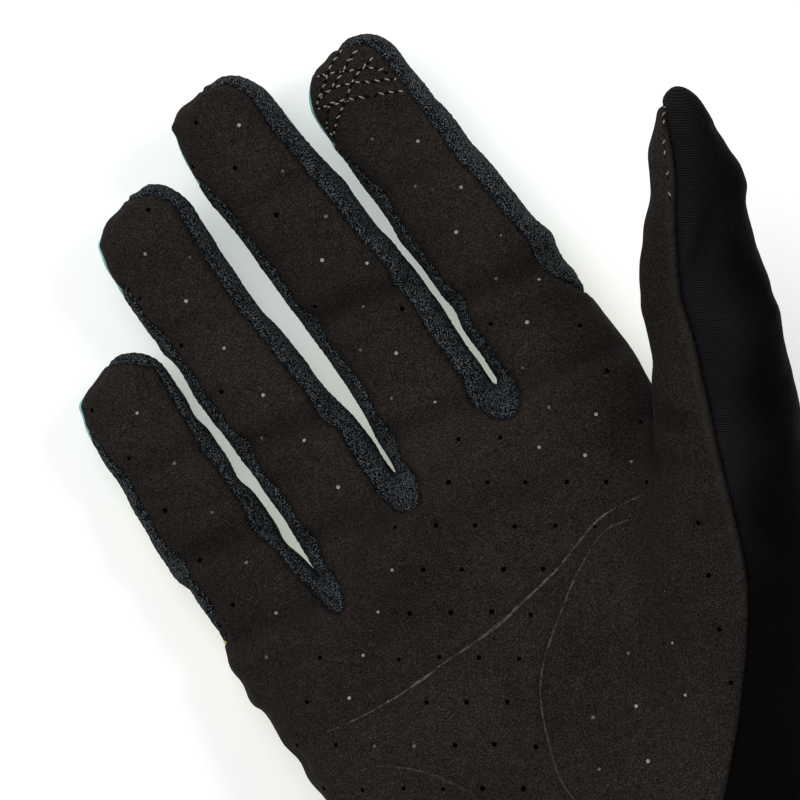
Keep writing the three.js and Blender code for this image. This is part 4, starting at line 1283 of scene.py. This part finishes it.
# what shows through the holes: painted black shade, the pale lining in painted shade, or the pale lining
liningAndHoleShade = [
    threadMaterial("hole_shadow", (0.0004, 0.0004, 0.0004), 1.0, shine=0.0),
    threadMaterial("lining_in_shade", (0.11, 0.11, 0.107), 0.9, shine=0.05),
    threadMaterial("pale_backing", (0.22, 0.22, 0.21), 0.8, shine=0.1),
]
flat, kinds = perforationPlaces()
spots, ways, kept = onSuede(flat)
kinds = kinds[kept]
clear = clearOfSeams(spots, ways, perforations["spare"])
spots, ways, kinds = spots[clear], ways[clear], kinds[clear]
print("perforations:", len(spots))


def sideways(ways):
    # two directions square to each of the given ones
    first = np.cross(ways, np.array([0.0, 1.0, 0.0]))
    first /= np.linalg.norm(first, axis=1)[:, None]
    return first, np.cross(ways, first)


def perforationCutters():
    # a short closed prism through the face of the suede at each place
    count, sides = len(spots), perforations["sides"]
    first, second = sideways(ways)
    angle = 2 * math.pi * np.arange(sides) / sides
    wide = (np.array(perforations["radius"])[kinds] * rng.uniform(0.85, 1.12, count))[:, None, None]
    ring = np.cos(angle)[None, :, None] * first[:, None] + np.sin(angle)[None, :, None] * second[:, None]
    ring = wide * ring
    top = spots[:, None] + ring + 0.8 * ways[:, None]
    depth = np.array(perforations["depth"])[kinds][:, None, None]
    foot = spots[:, None] + ring * 0.94 - depth * ways[:, None]
    vertices = np.concatenate([top, foot], axis=1).reshape(-1, 3)
    faces = []
    for k in range(count):
        at = 2 * sides * k
        faces.append([at + s for s in range(sides)])
        faces.append([at + sides + s for s in reversed(range(sides))])
        for s in range(sides):
            after = (s + 1) % sides
            faces.append([at + s, at + sides + s, at + sides + after, at + after])
    mesh = bpy.data.meshes.new("cutters")
    mesh.from_pydata((vertices * mm).tolist(), [], faces)
    for material in [suede, *liningAndHoleShade]:
        mesh.materials.append(material)
    # each hole's floor takes its backing; the dark holes' walls are painted black shade too
    index = np.zeros((count, sides + 2), dtype=np.int32)
    index[:, 1] = 1 + kinds
    index[kinds == 0, 2:] = 1
    mesh.polygons.foreach_set("material_index", index.ravel())
    cutters = bpy.data.objects.new("cutters", mesh)
    bpy.context.collection.objects.link(cutters)
    return cutters


palmPiece = panelPieces["palm_panel"]
for material in liningAndHoleShade:
    palmPiece.data.materials.append(material)
cutters = perforationCutters()
cut = palmPiece.modifiers.new("perforations", "BOOLEAN")
cut.operation = "DIFFERENCE"
cut.object = cutters
cut.solver = "MANIFOLD"
before = len(palmPiece.data.polygons)
applied(palmPiece)
bpy.data.objects.remove(cutters)
print("palm perforated:", before, "->", len(palmPiece.data.polygons), "faces")


# closes a ring of eight points with three quads
capQuads = np.array([[0, 1, 2, 3], [0, 3, 4, 7], [4, 5, 6, 7]])


def ribbonAlong(name, spots, ways, widths, height, material):
    # a low half-round bead over the cloth along a line of spots
    ahead = np.gradient(spots, axis=0)
    ahead /= np.linalg.norm(ahead, axis=1)[:, None]
    side = np.cross(ahead, ways)
    side /= np.linalg.norm(side, axis=1)[:, None]
    angle = np.linspace(-0.25, math.pi + 0.25, 8)
    across = np.cos(angle)[None, :, None] * side[:, None] * (widths / 2)[:, None, None]
    up = np.sin(angle)[None, :, None] * ways[:, None] * height * (widths / widths.max())[:, None, None]
    vertices = (spots[:, None] + across + up - 0.03 * ways[:, None]).reshape(-1, 3)
    rows, columns = np.meshgrid(np.arange(len(spots) - 1), np.arange(7), indexing="ij")
    a, first = (rows * 8 + columns).ravel(), rows[:, 0] * 8
    faces = np.stack([a, a + 1, a + 9, a + 8], axis=1)
    under = np.stack([first, first + 8, first + 15, first + 7], axis=1)
    ends = [capQuads[:, ::-1], capQuads + 8 * (len(spots) - 1)]
    piece = newMesh(name, vertices, np.concatenate([faces, under, *ends])[:, ::-1], material)
    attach(piece, "root")
    return piece


# each crease's bead with its painted highlight colour: how wide it is, and where along the line it is widest
creaseLook = {
    "across": {"widest": 0.72, "brightest": 0.5, "spread": 0.38, "finish": creaseHighlight},
    "thumbBall": {"widest": 0.42, "brightest": 0.3, "spread": 0.8, "finish": creaseHighlightMid},
    "heel": {"widest": 0.6, "brightest": 0.45, "spread": 0.4, "finish": creaseHighlightFaint},
}
for name, knots in creases.items():
    look = creaseLook[name]
    line = smoothLine(knots, 160)
    lineSpots, lineWays, _ = onSuede(line)
    share = np.linspace(0, 1, len(lineSpots))
    swell = np.exp(-((share - look["brightest"]) / look["spread"]) ** 2)
    widths = look["widest"] * (0.25 + 0.75 * swell) * (1 + 0.25 * np.sin(37 * share) * np.sin(11 * share))
    widths *= smoothStep(0, 0.06, share) * smoothStep(1, 0.94, share) * 0.9 + 0.1
    ribbonAlong("crease_" + name, lineSpots, lineWays, widths, 0.09, look["finish"])

# Conductive stitching on the tips of the index finger and thumb, lines in px.
stitching = {
    "rows": [
        [(317, 77), (333, 73), (348, 71), (361, 69), (374, 68), (384, 71), (389, 77)],
        [(321, 97), (330, 90), (339, 86), (349, 84), (359, 82), (370, 82), (381, 80), (396, 79)],
        [(318, 109), (326, 106), (334, 102), (345, 100), (357, 98), (368, 96), (379, 94), (391, 92),
         (403, 91)],
        [(343, 49), (337, 57), (331, 66), (328, 73), (326, 81), (321, 93), (317, 106)],
        [(357, 50), (351, 58), (346, 66), (341, 74), (337, 81), (329, 90), (321, 98)],
        [(373, 57), (367, 64), (361, 69), (354, 79), (351, 85), (349, 91), (345, 102), (340, 113),
         (337, 121), (334, 137)],
        [(349, 100), (336, 104), (329, 107), (328, 118), (327, 129), (334, 136)],
    ],
    "thumbRow": [
        (665, 103), (664, 114), (664, 126), (664, 142), (665, 156), (667, 170), (669, 184), (670, 203)],
    "pitch": 1.85, "length": 1.3, "width": 0.31, "lift": 0.16, "sides": 8, "rings": 7, "turn": 0.16,
}


def stitchesAlong(name, rows, share, material, phase=0.0, thick=1.0, skip=0.0):
    # short twisted capsules end to end along each row, their ends drawn down into the cloth
    vertices, faces, ply = [], [], []
    rings, sides = stitching["rings"], stitching["sides"]
    u = np.linspace(0, 1, rings)
    angle = 2 * math.pi * np.arange(sides) / sides
    i, j = np.meshgrid(np.arange(rings - 1), np.arange(sides), indexing="ij")
    a, b = (i * sides + j).ravel(), (i * sides + (j + 1) % sides).ravel()
    template = np.stack([a, b, b + sides, a + sides], axis=1)
    template = np.concatenate([template, capQuads[:, ::-1], capQuads + sides * (rings - 1)])
    total = 0
    for row in rows:
        line = smoothLine(fromPicture(*np.array(row, dtype=float).T), 90)
        rowSpots, rowWays, _ = onSuede(line)
        if len(rowSpots) < 4:
            continue
        run = np.concatenate([[0], np.cumsum(np.linalg.norm(np.diff(rowSpots, axis=0), axis=1))])
        for at in np.arange(phase * stitching["pitch"], run[-1] - 0.3, stitching["pitch"]):
            if rng.random() < skip:
                continue
            length = stitching["length"] * share * rng.uniform(0.88, 1.12)
            ends = np.clip(at + length * u, 0, run[-1])
            centre = np.stack([np.interp(ends, run, rowSpots[:, k]) for k in range(3)], axis=1)
            way = np.stack([np.interp(ends, run, rowWays[:, k]) for k in range(3)], axis=1)
            way /= np.linalg.norm(way, axis=1)[:, None]
            ahead = centre[-1] - centre[0]
            ahead = ahead / max(np.linalg.norm(ahead), 1e-6)
            side = np.cross(way, ahead)
            side /= np.linalg.norm(side, axis=1)[:, None]
            lean = rng.normal(0, stitching["turn"])
            radius = thick * stitching["width"] / 2 * np.clip(1 - (2 * u - 1) ** 4, 0.03, 1) ** 0.5
            rise = stitching["lift"] * thick * 4 * u * (1 - u) - 0.05
            ring = (centre + way * rise[:, None] + side * (lean * (2 * u - 1))[:, None])[:, None]
            around = np.cos(angle)[None, :, None] * side[:, None]
            upward = 0.85 * np.sin(angle)[None, :, None] * way[:, None]
            ring = ring + radius[:, None, None] * (around + upward)
            vertices.append(ring.reshape(-1, 3))
            faces.append(template + total)
            ply.append((angle[None] / math.pi + 2.6 * u[:, None]).ravel())
            total += rings * sides
    piece = newMesh(name, np.concatenate(vertices), np.concatenate(faces), material,
                    {"ply": np.concatenate(ply)})
    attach(piece, "root")
    return piece


stitchesAlong("stitches_index_pale", stitching["rows"], 0.8, paleThread, 0.0, 1.0, 0.06)
# black stitches between the pale ones, wide and flat, as painted shadow along the rows
stitchesAlong("stitches_index_shadow", stitching["rows"], 0.9, stitchShadow, 0.5, 1.35)
stitchesAlong("stitches_thumb_pale", [stitching["thumbRow"]], 0.6, paleThread, 0.2, 0.9, 0.15)
stitchesAlong("stitches_thumb_shadow", [stitching["thumbRow"]], 0.6, stitchShadow, 0.6, 0.8)
print("stitches laid")

# Floor, light and the white surround
studio = {
    "floorColour": (0.60, 0.60, 0.60), "surround": 0.5, "tableGlow": 0.28,
    "keyPower": 9.0, "keySize": 0.9, "keyFrom": (-0.38, 0.3, 0.9), "keyAway": 1.0,
    "sidePower": 3.6, "sideSize": 0.3, "sideFrom": (0.62, 0.42, 0.85),
}
floorMesh = bpy.data.meshes.new("floor")
reach = 3.0
floorMesh.from_pydata([(-reach, -reach, 0), (reach, -reach, 0), (reach, reach, 0), (-reach, reach, 0)],
                      [], [(0, 1, 2, 3)])
floorMaterial, _, floorShader = nodeTree("floor")
floorShader.inputs["Base Color"].default_value = (*studio["floorColour"], 1)
floorShader.inputs["Emission Color"].default_value = (1, 1, 1, 1)
# the floor glows a little, though it is no lamp, which lightens the shadows on it
setShader(floorShader, Roughness=0.9, Specular_IOR_Level=0.1, Emission_Strength=studio["tableGlow"])
floorMesh.materials.append(floorMaterial)
floorObject = bpy.data.objects.new("floor", floorMesh)
floorObject.location = (0, 0, -0.0001)
bpy.context.collection.objects.link(floorObject)

world = bpy.data.worlds.new("surround")
world.use_nodes = True
world.node_tree.nodes["Background"].inputs["Color"].default_value = (1, 1, 1, 1)
world.node_tree.nodes["Background"].inputs["Strength"].default_value = studio["surround"]
bpy.context.scene.world = world


def softLight(name, power, size, direction, away):
    light = bpy.data.lights.new(name, "AREA")
    light.energy = power
    light.shape = "DISK"
    light.size = size
    lamp = bpy.data.objects.new(name, light)
    flat = pictureRight * direction[0] + pictureUp * direction[1]
    way = Vector((flat[0], flat[1], direction[2])).normalized()
    target = Vector((*(np.array(view["axis"]) * mm), 0.02))
    lamp.location = target + way * away
    lamp.rotation_euler = (-way).to_track_quat("-Z", "Y").to_euler()
    bpy.context.collection.objects.link(lamp)


softLight("key", studio["keyPower"], studio["keySize"], studio["keyFrom"], studio["keyAway"])
softLight("side", studio["sidePower"], studio["sideSize"], studio["sideFrom"], studio["keyAway"])
bpy.context.scene.view_settings.view_transform = "Standard"
